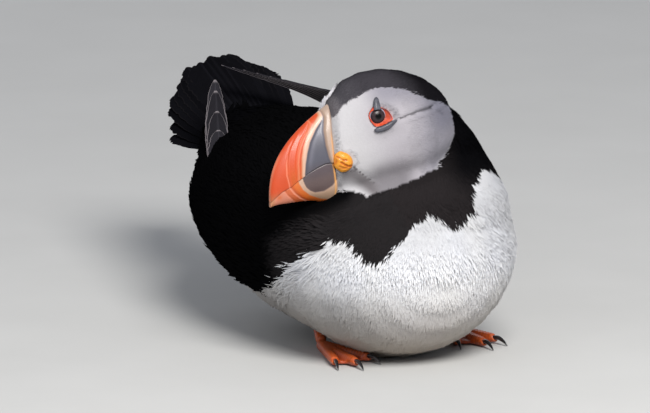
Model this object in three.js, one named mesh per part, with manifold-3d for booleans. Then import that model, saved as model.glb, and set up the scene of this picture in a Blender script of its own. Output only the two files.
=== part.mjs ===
// An Atlantic puffin at life size, resting on its belly with its head turned to its right.
// Millimetres, +Z up. The bird faces -Y and its left side is +X. The origin is on the floor,
// in the middle of the flat on which the belly rests.
import * as THREE from "three";
import { mergeVertices } from "three/addons/utils/BufferGeometryUtils.js";
import Module from "manifold-3d";

const wasm = await Module();
wasm.setup();

// ---- driving dimensions ----
const GAP = 0.3; // between pieces that touch
const REACH = 400; // larger than the whole bird, for cutting regions

const BODY = {
  front: -50, // Y of the breast's foremost point
  middle: 2, // Y where the round breast passes into the long back
  back: 150, // Y of the end of the feathers over the tail's root
  height: 47, // height of the breast's foremost point
  halfWidth: 52.5,
  rise: 31, // from there up to the shoulders
  drop: 48.5, // and down to the belly, a little under the floor
};
const COAT_WING = 4.6; // how deep a folded wing lies in the side of the body
const WING_PROUD = 1.2; // how far its coverts stand out of the body's outline

const HEAD = {
  place: new THREE.Vector3(-14.4, -2.1, 102), // midway between the eyes
  turn: 86.5, // degrees to the bird's right
  dip: 9.4, // bill down
  lean: 6, // left side up
};
const EYE = { ahead: 0.8, radius: 5.2, out: 9.4, up: 1.2 };
const BILL = {
  root: [17, 9.6], // where the culmen leaves the forehead, ahead of the eyes and above them
  arch: [39, -1.6], // a point of the arched culmen
  tip: [51.6, -24.4],
  chin: [22, -28.2],
  gape: [22.6, -13.8],
  halfThick: 7.9,
};
const FEET = {
  left: { heel: [36, 26], turn: 3 },
  right: { heel: [-26, 15], turn: 2 },
};
const TOE = { long: 36, thick: 2.6, height: 2.2, web: 1.3, claw: 6.5 };
const SHANK = { thick: 2.3, lift: 3.4, spread: 6, long: 17, rise: 14 };
const TAIL = {
  base: new THREE.Vector3(0, 128, 69),
  tip: new THREE.Vector3(8, 199, 85.5),
  roll: 13, // degrees, left side up
  halfBase: 14,
  halfTip: 25.5,
  feathers: 10,
  thick: 2.2,
  round: 0.2, // how much shorter the outermost feather is, as a share of the length
  notch: 0.035, // depth of the notches between the feathers' tips, as such a share
  droop: 4, // how far the fan's sides hang
};

// ---- materials ----
const finish = (color, roughness = 0.8, metalness = 0) =>
  new THREE.MeshStandardMaterial({ color, roughness, metalness });
const MATERIAL = {
  black: finish(0x14141a),
  white: finish(0xe9e9ec),
  face: finish(0xd4d2d8),
  flight: finish(0x26262c, 0.6),
  orange: finish(0xe4602a, 0.35),
  leg: finish(0xd9541e, 0.5),
  claw: finish(0x1b1a1c, 0.3),
  eye: finish(0x2c1d18, 0.05),
  ring: finish(0xd5472a, 0.5),
  horn: finish(0x5d626c, 0.45),
  rosette: finish(0xf0a31c, 0.55),
};

// ---- small tools ----
const rad = THREE.MathUtils.degToRad;
const clamp = THREE.MathUtils.clamp;
const lerp = THREE.MathUtils.lerp;
const smooth = (t) => THREE.MathUtils.smoothstep(t, 0, 1);
const vec = (x, y, z) => new THREE.Vector3(x, y, z);

// A smooth value through a few [place, value] points.
function through(points) {
  const slope = (i) => {
    const a = points[Math.max(i - 1, 0)];
    const b = points[Math.min(i + 1, points.length - 1)];
    return (b[1] - a[1]) / (b[0] - a[0]);
  };
  return (x) => {
    const t = clamp(x, points[0][0], points.at(-1)[0]);
    const i = clamp(points.findIndex((p) => p[0] >= t) - 1, 0, points.length - 2);
    const [x0, y0] = points[i];
    const [x1, y1] = points[i + 1];
    const h = x1 - x0;
    const u = (t - x0) / h;
    const v = 1 - u;
    return (
      y0 * (1 + 2 * u) * v * v +
      slope(i) * h * u * v * v +
      y1 * (3 - 2 * u) * u * u -
      slope(i + 1) * h * u * u * v
    );
  };
}

// A closed geometry as a solid, turned round if its faces look inwards.
function solid(geometry) {
  const bare = geometry.index ? geometry.toNonIndexed() : geometry.clone();
  const only = new THREE.BufferGeometry();
  only.setAttribute("position", bare.getAttribute("position"));
  const merged = mergeVertices(only, 1e-3);
  const triVerts = new Uint32Array(merged.index.array);
  const make = () =>
    new wasm.Manifold(
      new wasm.Mesh({
        numProp: 3,
        vertProperties: merged.attributes.position.array,
        triVerts,
      }),
    );
  const made = make();
  if (made.volume() > 0) return made;
  for (let i = 0; i < triVerts.length; i += 3)
    [triVerts[i + 1], triVerts[i + 2]] = [triVerts[i + 2], triVerts[i + 1]];
  return make();
}

// A named mesh of a solid.
function piece(name, made, material) {
  const { vertProperties, triVerts, numProp } = made.getMesh();
  const geometry = new THREE.BufferGeometry();
  const places = new Float32Array((vertProperties.length / numProp) * 3);
  for (let i = 0; i < places.length / 3; i++)
    places.set(vertProperties.subarray(i * numProp, i * numProp + 3), i * 3);
  geometry.setAttribute("position", new THREE.BufferAttribute(places, 3));
  geometry.setIndex(new THREE.BufferAttribute(triVerts, 1));
  geometry.computeVertexNormals();
  const mesh = new THREE.Mesh(geometry, material);
  mesh.name = name;
  return mesh;
}

// A closed skin through rings of points. An end is closed by a fan from its ring's middle, or for a
// flat blade, whose rings run out along one face and back along the other, by a strip between the two.
function skin(rings, flat = false) {
  const sides = rings[0].length;
  const points = rings.flat();
  const index = [];
  const at = (r, i) => r * sides + (i % sides);
  const quad = (a, b, c, d) => index.push(a, b, c, a, c, d);
  for (let r = 0; r + 1 < rings.length; r++)
    for (let i = 0; i < sides; i++) quad(at(r, i), at(r, i + 1), at(r + 1, i + 1), at(r + 1, i));
  for (const [r, turned] of [[0, true], [rings.length - 1, false]]) {
    if (flat) {
      for (let i = 0; i + 1 < sides / 2; i++) {
        const corners = [at(r, i), at(r, i + 1), at(r, sides - 2 - i), at(r, sides - 1 - i)];
        quad(...(turned ? corners.reverse() : corners));
      }
      continue;
    }
    const middle = rings[r].reduce((sum, p) => sum.add(p), vec(0, 0, 0));
    points.push(middle.divideScalar(sides));
    for (let i = 0; i < sides; i++) {
      const [a, b] = turned ? [i + 1, i] : [i, i + 1];
      index.push(at(r, a), at(r, b), points.length - 1);
    }
  }
  const geometry = new THREE.BufferGeometry().setFromPoints(points);
  geometry.setIndex(index);
  return solid(geometry);
}

// A rounded ring about a centre. up and down are its reaches along the upward direction. power
// shapes the upper half and low the lower one: 2 is an ellipse, more is squarer, less is pointed.
function ring(centre, across, upward, { up, down, wide, power = 2, low = power, sides = 24 }) {
  const points = [];
  for (let i = 0; i < sides; i++) {
    const a = (i / sides) * 2 * Math.PI;
    const high = Math.sin(a);
    const bend = (v) => Math.sign(v) * Math.abs(v) ** (2 / (high > 0 ? power : low));
    points.push(
      centre
        .clone()
        .addScaledVector(across, wide * bend(Math.cos(a)))
        .addScaledVector(upward, bend(high) * (high > 0 ? up : down)),
    );
  }
  return points;
}

// Places from 0 to 1 that crowd towards both ends, for skins with round ends.
const crowded = (n) =>
  Array.from({ length: n }, (_, i) => (1 - Math.cos((Math.PI * i) / (n - 1))) / 2);

// A flat outline in the Y-Z plane, drawn out along X between two planes.
function sidePanel(outline, from, to) {
  const shape = new THREE.Shape(outline.map(([y, z]) => new THREE.Vector2(y, z)));
  const geometry = new THREE.ExtrudeGeometry(shape, { depth: to - from, bevelEnabled: false });
  const turn = new THREE.Matrix4().makeBasis(vec(0, 1, 0), vec(0, 0, 1), vec(1, 0, 0));
  geometry.applyMatrix4(turn).translate(from, 0, 0);
  return solid(geometry);
}

// A tapered round limb along a list of {at, thick} points.
function limb(points, sides = 6) {
  const rings = points.map(({ at, thick }, i) => {
    const before = points[Math.max(i - 1, 0)].at;
    const after = points[Math.min(i + 1, points.length - 1)].at;
    const along = after.clone().sub(before).normalize();
    const across = vec(-along.y, along.x, 0).normalize();
    const upward = across.clone().cross(along).negate();
    return ring(at, across, upward, { up: thick, down: thick, wide: thick, sides });
  });
  return skin(rings);
}

// ---- trunk and folded wings ----
// Behind the round breast the body's outline follows these [Y, value] points.
const along = {
  wide: through([
    [2, 52.5], [40, 53.5], [70, 53], [95, 47.5], [112, 41], [126, 32], [138, 24], [150, 15],
  ]),
  top: through([[2, 78], [16, 84], [36, 88.5], [70, 90], [100, 87], [125, 83], [150, 77]]),
  middle: through([[2, 47], [60, 47], [110, 52], [130, 61], [150, 71]]),
  bottom: through([
    [2, -1.5], [30, -1.2], [52, 0.5], [68, 6], [85, 13], [105, 24], [125, 42], [140, 57], [150, 66],
  ]),
};

function bodySkin(grow, sides = 24) {
  const { front, middle, back, height, halfWidth, rise, drop } = BODY;
  const nose = middle - front;
  const shares = [0.999, 0.96, 0.87, 0.74, 0.58, 0.38, 0.16];
  const breast = shares.map((share) => ({ y: middle - nose * share, share }));
  const rear = [16, 32, 48, 64, 80, 95, 108, 120, 131, 141, back].map((y) => ({ y, share: 0 }));
  const rings = [...breast, ...rear].map(({ y, share }) => {
    const ahead = share > 0;
    const round = Math.sqrt(1 - share ** 2.2);
    const slope = Math.sqrt(1 - share ** 1.2);
    const level = ahead ? height : along.middle(y);
    const place = y + (y === back ? grow : 0) - (share === shares[0] ? grow : 0);
    const crouch = THREE.MathUtils.smoothstep(y, 40, 110);
    return ring(vec(0, place, level), vec(1, 0, 0), vec(0, 0, 1), {
      wide: (ahead ? halfWidth * round : along.wide(y)) + grow,
      up: (ahead ? rise * slope : along.top(y) - level) + grow,
      down: (ahead ? drop * round : level - along.bottom(y)) + grow,
      power: lerp(2.7, 1.6, crouch),
      low: lerp(2, 1.75, THREE.MathUtils.smoothstep(y, -10, 35)) + 0.25 * crouch,
      sides,
    });
  });
  return skin(rings);
}

// The side outline of a folded wing, from the bend in front, along its lower edge over the flank, and
// back along its upper edge under the feathers of the back.
function wingOutline(bend) {
  const end = 116;
  const front = [[bend, 56], [bend + 11, 48], [bend + 27, 38]];
  const lower = through([...front, [18, 29], [40, 24], [74, 28.5], [102, 38], [end, 52]]);
  const shoulder = [[bend, 58], [bend + 8, 69], [bend + 24, 78]];
  const upper = through([...shoulder, [35, 84], [70, 84], [100, 79], [end, 68]]);
  const steps = 9;
  const places = Array.from({ length: steps + 1 }, (_, i) => lerp(bend, end, i / steps));
  return [...places.map((y) => [y, lower(y)]), ...places.reverse().map((y) => [y, upper(y)])];
}

// An outline moved out all round, away from its middle.
function spread(outline, by) {
  const middle = [0, 1].map((k) => outline.reduce((sum, p) => sum + p[k], 0) / outline.length);
  return outline.map(([y, z]) => {
    const far = Math.hypot(y - middle[0], z - middle[1]);
    return [y + ((y - middle[0]) / far) * by, z + ((z - middle[1]) / far) * by];
  });
}

const WINGS = { left: { side: 1, bend: -10 }, right: { side: -1, bend: -27 } };
const WING_INNER = 20; // how near the back's midline a folded wing comes

function wingPanel(name, grow) {
  const { side, bend } = WINGS[name];
  const outline = spread(wingOutline(bend), grow * 1.5);
  const near = WING_INNER - grow;
  return side < 0 ? sidePanel(outline, -REACH / 2, -near) : sidePanel(outline, near, REACH / 2);
}

// ---- neck: a collar that narrows from the shoulders up into the back of the head ----
function neckSkin(grow) {
  const levels = [
    { z: 58, x: 4, y: -4, wide: 47, long: 42 },
    { z: 67, x: 9, y: -1, wide: 42, long: 37 },
    { z: 76, x: 12, y: 4, wide: 35.5, long: 28 },
    { z: 84, x: 15.5, y: 7, wide: 28, long: 23 },
    { z: 92, x: 17, y: 7, wide: 21, long: 22 },
    { z: 101, x: 16, y: 6, wide: 14, long: 15 },
    { z: 108, x: 14, y: 5, wide: 6, long: 8 },
  ];
  return skin(
    levels.map(({ z, x, y, wide, long }) =>
      ring(vec(x, y, z), vec(1, 0, 0), vec(0, -1, 0), {
        wide: wide + grow,
        up: long + grow,
        down: long + grow,
        sides: 24,
      }),
    ),
  );
}
const NECK_CUT = 66; // height of the thin cut between the neck and the trunk

// ---- head, in its own frame: +X along the bill, +Y to its left, the eyes' middle at the origin ----
const headMatrix = new THREE.Matrix4().compose(
  HEAD.place,
  new THREE.Quaternion().setFromEuler(
    new THREE.Euler(rad(HEAD.lean), rad(HEAD.dip), rad(-90 - HEAD.turn), "ZYX"),
  ),
  vec(1, 1, 1),
);
const inHead = (made) => made.transform(headMatrix.toArray());

const skull = {
  crown: through([
    [-37, -4], [-33, 5], [-24, 13], [-13, 17.6], [-2, 19.2], [6, 18.4], [12, 15], [17, 10.2], [26, 5],
  ]),
  throat: through([
    [-37, -12], [-33, -23], [-24, -30], [-8, -33], [8, -32.6], [18, -30.4], [26, -27.6],
  ]),
  cheek: through([
    [-37, 8], [-33, 14], [-26, 18], [-17, 19.4], [-8, 17.8], [0, 15.2], [10, 13], [18, 10.2], [26, 7.6],
  ]),
  widest: through([[-37, -9], [-12, -11], [10, -12], [26, -12]]),
};

function headSkin(grow) {
  const [from, to] = [-37 - grow, 26];
  const rings = crowded(12).map((t) => {
    const x = lerp(from, to, clamp(t, 0.004, 1));
    const end = Math.sqrt(clamp((x - from) / 4, 0.1, 1));
    const middle = skull.widest(x);
    return ring(vec(x, 0, middle), vec(0, 1, 0), vec(0, 0, 1), {
      wide: (skull.cheek(x) + grow) * end,
      up: (skull.crown(x) - middle + grow) * end,
      down: (middle - skull.throat(x) + grow) * end,
      power: 2.15,
      sides: 19,
    });
  });
  return skin(rings);
}

// A side outline in the head's X-Z plane, drawn across the head.
function headPanel(outline) {
  const shape = new THREE.Shape(outline.map(([x, z]) => new THREE.Vector2(x, z)));
  const geometry = new THREE.ExtrudeGeometry(shape, { depth: 60, bevelEnabled: false });
  geometry.applyMatrix4(new THREE.Matrix4().makeBasis(vec(1, 0, 0), vec(0, 0, 1), vec(0, -1, 0)));
  return solid(geometry.translate(0, 30, 0));
}

// Ahead of the slanting line where the bill's horn meets the feathers of the face.
function aheadOfFace(gap) {
  const edge = [[14.4, 20], [16.9, 9.6], [20.3, -1.6], BILL.gape, [22.8, -28], [23, -40]];
  const moved = edge.map(([x, z]) => [x + gap, z]);
  return headPanel([...moved, [90, -60], [90, 20]]);
}

// ---- bill ----
const bill = {
  culmen: through([
    [12, 11.6], BILL.root, [22, 7.6], [28, 5], [34, 1.8], BILL.arch,
    [44, -6.2], [48, -12], [50.4, -18.4], BILL.tip,
  ]),
  lower: through([
    [12, -29.4], BILL.chin, [30, -27.8], [36, -26.6], [43, -25.6], [48, -25],
    [BILL.tip[0], BILL.tip[1] - 0.8],
  ]),
  thick: through([
    [12, 9], [22, BILL.halfThick], [30, 6.6], [38, 5], [45, 3.3], [49, 2.1], [BILL.tip[0], 0.9],
  ]),
};

function billSkin(grow = 0) {
  const places = [12.5, 17, 22, 27, 32, 37, 41, 44.5, 47.5, 49.6, 50.9, BILL.tip[0]];
  const rings = places.map((x) => {
    const middle = lerp(bill.culmen(x), bill.lower(x), 0.6);
    return ring(vec(x, 0, middle), vec(0, 1, 0), vec(0, 0, 1), {
      wide: bill.thick(x) + grow,
      up: bill.culmen(x) - middle + grow,
      down: middle - bill.lower(x) + grow,
      power: 1.75,
      sides: 16,
    });
  });
  return skin(rings);
}

// Everything above the mouth line, or below it, with a thin gap between.
function mouthSide(above, gap) {
  const line = [
    [0, -12], BILL.gape, [30, -14.2], [36, -15.6], [42, -18], [47, -19.8], [51.2, -22.4], [70, -40],
  ];
  const far = above ? 60 : -90;
  const shift = above ? gap : -gap;
  return headPanel([...line.map(([x, z]) => [x, z + shift]), [70, far], [0, far]]);
}

// ---- features of the face, built on one side; side is 1 for left and -1 for right ----
const eyePlace = (side) => [EYE.ahead, side * EYE.out, EYE.up];

function eyeball(side, grow) {
  const geometry = new THREE.SphereGeometry(EYE.radius + grow, 12, 8);
  return solid(geometry.translate(...eyePlace(side)));
}

function pad(place, half, turn = 0) {
  const geometry = new THREE.SphereGeometry(1, 12, 6);
  geometry.scale(...half).rotateZ(rad(turn)).translate(...place);
  return solid(geometry);
}

const eyeRing = (side, grow) =>
  pad([0.3, side * 13.9, 0.9], [5 + grow, 1.7 + grow, 4 + grow], side * -9);
const rosette = (side, grow) =>
  pad([19.2, side * 9.4, -13.2], [4.2 + grow, 2.6 + grow, 4.3 + grow], side * -14);

// The upright grey horn over the eye.
function hornOver(side, grow) {
  const levels = [[5.5, 1.6], [6.8, 1.3], [8.2, 0.8], [9.6, 0.35]];
  return skin(
    levels.map(([z, wide]) =>
      ring(vec(0.4, side * (13.7 - (z - 5.5) * 0.42), z), vec(1, 0, 0), vec(0, 1, 0), {
        wide: wide + grow,
        up: 0.8 + grow,
        down: 1.3 + grow,
        sides: 6,
      }),
    ),
  );
}

// The long grey horn lying under the eye.
function hornUnder(side, grow) {
  const stations = [
    [-6.6, -1.7, 0.5], [-4.6, -2.9, 1], [-1, -4.1, 1.1], [2.4, -4.3, 1], [4, -3.9, 0.6],
  ];
  return skin(
    stations.map(([x, z, high]) =>
      ring(vec(x, side * (15.3 - x * 0.24), z), vec(0, 1, 0), vec(0, 0, 1), {
        wide: 1.1 + grow,
        up: high + grow,
        down: high + grow,
        sides: 6,
      }),
    ),
  );
}

// ---- feet ----
const toes = [{ fan: -18, share: 0.84 }, { fan: 0, share: 1 }, { fan: 14, share: 0.9 }];

function toeLine(name, index) {
  const { side } = WINGS[name];
  const { heel, turn } = FEET[name];
  const direction = rad(toes[index].fan + turn);
  const length = TOE.long * toes[index].share;
  const root = vec(heel[0], heel[1], TOE.height);
  const forward = vec(side * Math.sin(direction), -Math.cos(direction), 0);
  return { root, forward, length, at: (t) => root.clone().addScaledVector(forward, length * t) };
}

function footSkin(name, grow) {
  const limbs = toes.map((_, i) => {
    const { at } = toeLine(name, i);
    const knuckles = [[-0.08, 0.55], [0, 1], [0.5, 0.86], [0.9, 0.8], [1, 0.5]];
    const stations = knuckles.map(([t, share]) => ({ at: at(t), thick: TOE.thick * share + grow }));
    return limb(stations);
  });
  const [inner, middle, outer] = toes.map((_, i) => toeLine(name, i).at(0.92));
  const heel = toeLine(name, 1).root;
  const web = new THREE.Shape();
  web.moveTo(heel.x, heel.y);
  web.lineTo(inner.x, inner.y);
  for (const [a, b] of [[inner, middle], [middle, outer]]) {
    const between = a.clone().lerp(b, 0.5).lerp(heel, 0.14);
    web.quadraticCurveTo(between.x, between.y, b.x, b.y);
  }
  web.closePath();
  const depth = TOE.web + 2 * grow;
  const sheet = new THREE.ExtrudeGeometry(web, { depth, bevelEnabled: false, curveSegments: 3 });
  sheet.translate(0, 0, 0.6 - grow);
  return limbs.reduce((sum, one) => sum.add(one), solid(sheet));
}

// The hollow in the belly's feathers over a foot.
function footHollow(name) {
  const { side } = WINGS[name];
  const [inner, , outer] = toes.map((_, i) => toeLine(name, i).at(1.3));
  const { root } = toeLine(name, 1);
  const margin = TOE.thick + 2 * GAP;
  const corners = [
    [inner.x - side * margin, inner.y],
    [root.x - side * margin, root.y + margin],
    [root.x + side * margin, root.y + margin],
    [outer.x + side * margin, outer.y],
  ];
  const outline = new THREE.Shape(corners.map(([x, y]) => new THREE.Vector2(x, y)));
  const under = 2; // how far the cut reaches below the floor
  const depth = under + TOE.height + margin;
  const geometry = new THREE.ExtrudeGeometry(outline, { depth, bevelEnabled: false });
  return solid(geometry.translate(0, 0, -under));
}

// The shank, lying back along the floor under the flank.
function legSkin(name, grow) {
  const [x, y] = FEET[name].heel;
  const { side } = WINGS[name];
  const { thick, lift, spread: inward, long, rise } = SHANK;
  const stations = [[0.18, 0, 1], [0.53, 0.3, 1.1], [1, 1, 1.45]];
  return limb(
    stations.map(([t, climb, share]) => ({
      at: vec(x - side * inward * t, y + long * t, lerp(lift, rise, climb)),
      thick: thick * share + grow,
    })),
    8,
  );
}

function clawSkin(name, index, grow) {
  const { at, forward } = toeLine(name, index);
  const step = (far, z, thick) => ({
    at: at(1).addScaledVector(forward, far * TOE.claw).setZ(z),
    thick: thick + grow,
  });
  return limb([step(-0.25, 2.6, 1.1), step(0.2, 2.7, 1.05), step(0.6, 1.9, 0.75), step(1, 0.5, 0.3)]);
}

// ---- flight feathers and tail ----
// One feather as a thin blade along a curve from root to tip, widened along a given direction.
function vane(curve, across, { half, thick, share = 1, blunt = 0.5 }) {
  const width = through([[0, 0.5], [0.35, 0.9], [0.75, 1], [0.92, 0.8], [1, 0.3 * blunt + 0.1]]);
  const rings = [0, 0.45, 0.86, 1].map((t) => {
    const place = curve.getPoint(t * share);
    const ahead = curve.getTangent(t * share);
    const side = across.clone().addScaledVector(ahead, -across.dot(ahead)).normalize();
    const face = side.clone().cross(ahead).normalize();
    return ring(place, side, face, { wide: half * width(t), up: thick / 2, down: thick / 2, sides: 6 });
  });
  return skin(rings);
}

// The closed wing tips, crossing over the rump. Each shorter feather lies over the longer one.
const TIPS = {
  right: {
    line: [[-45, 66, 56], [-37, 96, 70], [-15, 141, 91.5]],
    across: [-0.9, 0.44, 0.05],
    half: 6.5,
  },
  left: {
    line: [[42, 74, 72], [26, 114, 84], [-3, 160, 93.5]],
    across: [0.77, 0.54, -0.33],
    half: 7,
  },
};
const PRIMARIES = 5;

function wingTip(name) {
  const { line, across, half } = TIPS[name];
  const [root, middle, tip] = line.map((p) => vec(...p));
  const wide = vec(...across).normalize();
  const feathers = Array.from({ length: PRIMARIES }, (_, i) => {
    const shift = wide.clone().multiplyScalar(i * 0.5).add(vec(0, 0, 0.32 * i));
    const places = [root, middle, tip].map((p) => p.clone().add(shift));
    const curve = new THREE.CatmullRomCurve3(places);
    return vane(curve, wide, { half: half * (1 - 0.03 * i), thick: 1.5, share: 1 - 0.1 * i });
  });
  return feathers.reduce((sum, one) => sum.add(one));
}

// The tail as one fan, its far edge scalloped by the feathers' round tips.
function tailFan() {
  const long = TAIL.tip.clone().sub(TAIL.base);
  const across = vec(Math.cos(rad(TAIL.roll)), 0, Math.sin(rad(TAIL.roll)));
  const steps = TAIL.feathers * 2;
  const place = (u, t, lift) => {
    const notch = t < 1 ? 0 : TAIL.notch * Math.abs(Math.cos((u * TAIL.feathers * Math.PI) / 2));
    const reach = t * (1 - TAIL.round * u * u - notch);
    return TAIL.base
      .clone()
      .addScaledVector(long, reach)
      .addScaledVector(across, u * lerp(TAIL.halfBase, TAIL.halfTip, smooth(t * 0.9)))
      .add(vec(0, 0, lift - TAIL.droop * t * u * u));
  };
  const rings = [0, 0.5, 0.85, 1].map((t) => {
    const half = (TAIL.thick / 2) * (t < 1 ? 1 : 0.5);
    const edge = Array.from({ length: steps + 1 }, (_, i) => (i / steps) * 2 - 1);
    const over = edge.map((u) => place(u, t, half));
    return [...over, ...edge.reverse().map((u) => place(u, t, -half))];
  });
  return skin(rings, true);
}

// ---- the whole bird ----
const whole = new THREE.Group();
const add = (name, made, material) => whole.add(piece(name, made, material));
const largest = (made) => made.decompose().sort((a, b) => b.volume() - a.volume())[0];
const union = (parts) => parts.reduce((sum, one) => sum.add(one));

// Head, with hollows for the eyes, their rings and horns, and the gape's rosettes.
const sides = [["left", 1], ["right", -1]];
const FEATURES = [eyeball, eyeRing, hornOver, hornUnder, rosette];
const hollows = (side, grow) => FEATURES.map((made) => made(side, grow));
let head = headSkin(0).subtract(aheadOfFace(0));
for (const [name, side] of sides) {
  head = head.subtract(union(hollows(side, GAP)));
  const [ball, lids, over, under, gape] = hollows(side, 0);
  const ringRoom = union([eyeball(side, GAP), hornOver(side, GAP), hornUnder(side, GAP)]);
  add(`eye_${name}`, inHead(ball), MATERIAL.eye);
  add(`eye_ring_${name}`, inHead(largest(lids.subtract(ringRoom))), MATERIAL.ring);
  add(`eye_horn_over_${name}`, inHead(over), MATERIAL.horn);
  add(`eye_horn_under_${name}`, inHead(under), MATERIAL.horn);
  add(`gape_rosette_${name}`, inHead(gape), MATERIAL.rosette);
}
add("head", inHead(largest(head)), MATERIAL.face);

const rosettes = union([rosette(1, GAP), rosette(-1, GAP)]);
const freeBill = billSkin().intersect(aheadOfFace(GAP)).subtract(rosettes);
add("bill_upper", inHead(freeBill.intersect(mouthSide(true, GAP / 2))), MATERIAL.orange);
add("bill_lower", inHead(freeBill.intersect(mouthSide(false, GAP / 2))), MATERIAL.orange);

// Neck, sunk into the top of the trunk.
const above = (height) => {
  const region = new THREE.BoxGeometry(REACH, REACH, REACH);
  return solid(region.translate(0, 0, height + REACH / 2));
};
const headRoom = inHead(union([headSkin(GAP), billSkin(GAP), ...hollows(1, GAP), ...hollows(-1, GAP)]));
add("neck", largest(neckSkin(0).intersect(above(NECK_CUT)).subtract(headRoom)), MATERIAL.black);

// Wings, laid in the sides of the trunk.
const neckRoom = neckSkin(GAP).intersect(above(NECK_CUT - GAP));
const proud = bodySkin(WING_PROUD);
const core = bodySkin(-COAT_WING);
const coreRoom = bodySkin(GAP - COAT_WING);
let trunk = bodySkin(0).intersect(above(0)).subtract(neckRoom).subtract(headRoom);
for (const name of Object.keys(WINGS)) {
  const taken = union([coreRoom, neckRoom, headRoom]);
  const wing = proud.intersect(wingPanel(name, 0)).subtract(taken);
  trunk = trunk.subtract(wingPanel(name, GAP).subtract(core));
  add(`wing_${name}`, largest(wing), MATERIAL.black);
}

// Feet and shanks, tucked into the belly.
for (const name of Object.keys(FEET)) {
  const claws = toes.map((_, i) => clawSkin(name, i, 0));
  const clawRoom = union(toes.map((_, i) => clawSkin(name, i, GAP)));
  trunk = trunk.subtract(footHollow(name)).subtract(legSkin(name, GAP));
  add(`leg_${name}`, legSkin(name, 0).intersect(above(0)), MATERIAL.leg);
  const foot = footSkin(name, 0).subtract(legSkin(name, GAP)).subtract(clawRoom);
  add(`foot_${name}`, largest(foot.intersect(above(0))), MATERIAL.leg);
  claws.forEach((claw, i) => add(`claw_${name}_${i + 1}`, claw.intersect(above(0)), MATERIAL.claw));
}
add("trunk", largest(trunk), MATERIAL.white);

// Wing tips and tail, clear of the body and of each other.
const bodyRoom = bodySkin(WING_PROUD + GAP);
const leftTip = largest(wingTip("left").subtract(bodyRoom));
const rightTip = largest(wingTip("right").subtract(bodyRoom));
add("primaries_left", leftTip, MATERIAL.flight);
add("primaries_right", rightTip, MATERIAL.flight);
add("tail", largest(tailFan().subtract(bodySkin(GAP))), MATERIAL.flight);

export default whole;
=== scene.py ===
"""A life-size Atlantic puffin at rest: skin, plumage, bill, eyes, feet and light over the solids."""

import math

import bpy
import numpy as np
from mathutils import Matrix, Vector
from mathutils.bvhtree import BVHTree


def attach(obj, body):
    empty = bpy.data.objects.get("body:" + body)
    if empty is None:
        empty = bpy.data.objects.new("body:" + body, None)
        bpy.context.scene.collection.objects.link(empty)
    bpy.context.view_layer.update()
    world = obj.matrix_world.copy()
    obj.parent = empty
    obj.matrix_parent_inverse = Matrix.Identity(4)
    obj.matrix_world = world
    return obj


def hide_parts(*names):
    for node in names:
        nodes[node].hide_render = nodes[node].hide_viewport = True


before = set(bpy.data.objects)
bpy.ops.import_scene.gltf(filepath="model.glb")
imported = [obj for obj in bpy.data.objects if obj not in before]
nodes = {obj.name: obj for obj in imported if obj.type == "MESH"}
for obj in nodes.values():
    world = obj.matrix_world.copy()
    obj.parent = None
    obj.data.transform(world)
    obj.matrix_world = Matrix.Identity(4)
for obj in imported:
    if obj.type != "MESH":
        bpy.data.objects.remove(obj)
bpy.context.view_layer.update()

MM = 0.001  # lengths below are in millimetres, as in the solids, and meshes are made in metres
rng = np.random.default_rng(11)

# ---- small tools ----


def unit(v):
    v = np.asarray(v, float)
    return v / np.maximum(np.linalg.norm(v, axis=-1, keepdims=True), 1e-9)


def ease(x, low, high):
    """0 up to low and 1 from high on, or the other way round where low is the higher."""
    t = np.clip((np.asarray(x, float) - low) / (high - low), 0, 1)
    return t * t * (3 - 2 * t)


def mix(a, b, t):
    """a where t is 0 and b where it is 1; t has one number for each row of a or b."""
    t = np.asarray(t, float)[..., None]
    return np.asarray(a, float) * (1 - t) + np.asarray(b, float) * t


def through(points):
    """A smooth value through a few [place, value] points, level beyond its ends."""
    xs, ys = np.array(points, float).T
    place = np.arange(len(xs))
    before, after = np.maximum(place - 1, 0), np.minimum(place + 1, len(xs) - 1)
    slopes = (ys[after] - ys[before]) / (xs[after] - xs[before])

    def value(x):
        x = np.clip(x, xs[0], xs[-1])
        i = np.clip(np.searchsorted(xs, x) - 1, 0, len(xs) - 2)
        h = xs[i + 1] - xs[i]
        u = (x - xs[i]) / h
        v = 1 - u
        start = ys[i] * (1 + 2 * u) * v * v + slopes[i] * h * u * v * v
        return start + ys[i + 1] * (3 - 2 * u) * u * u - slopes[i + 1] * h * u * u * v

    return value


def line(points):
    """Straight steps through [place, value] points, in any order of place."""
    xs, ys = np.array(sorted(points), float).T
    return lambda x: np.interp(x, xs, ys)


def round_line(points):
    """Straight steps through [bearing in degrees, value] points, all the way round."""
    return line([(bearing + turn, value) for turn in (-360, 0, 360) for bearing, value in points])


def hump(x, middle, width):
    return np.exp(-((x - middle) / width) ** 2)


def bearing_of(p):
    """Degrees round the body: 0 is ahead, minus its right."""
    return np.degrees(np.arctan2(p[:, 0], -p[:, 1]))


def circle(count):
    """Angles in even steps, all the way round."""
    return np.linspace(0, 2 * math.pi, count, endpoint=False)


def srgb(r, g, b):
    c = np.array([r, g, b]) / 255
    return np.where(c < 0.04045, c / 12.92, ((c + 0.055) / 1.055) ** 2.4)


def layered(colour, *coats):
    """A colour with others laid over it, each as (red, green, blue) and how much of it."""
    for over, share in coats:
        colour = mix(colour, srgb(*over), share)
    return colour


class Waves:
    """Smooth random values in space, from a few dozen waves: about -1 to 1."""

    def __init__(self, size, seed, count=24):
        made = np.random.default_rng(seed)
        self.k = made.normal(size=(count, 3)) * 2 / size
        self.phase = made.uniform(0, 2 * math.pi, count)

    def __call__(self, p):
        total = np.zeros(len(p))
        for k, phase in zip(self.k, self.phase):
            total += np.sin(p @ k + phase)
        return total * math.sqrt(2 / len(self.k)) / 2


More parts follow.
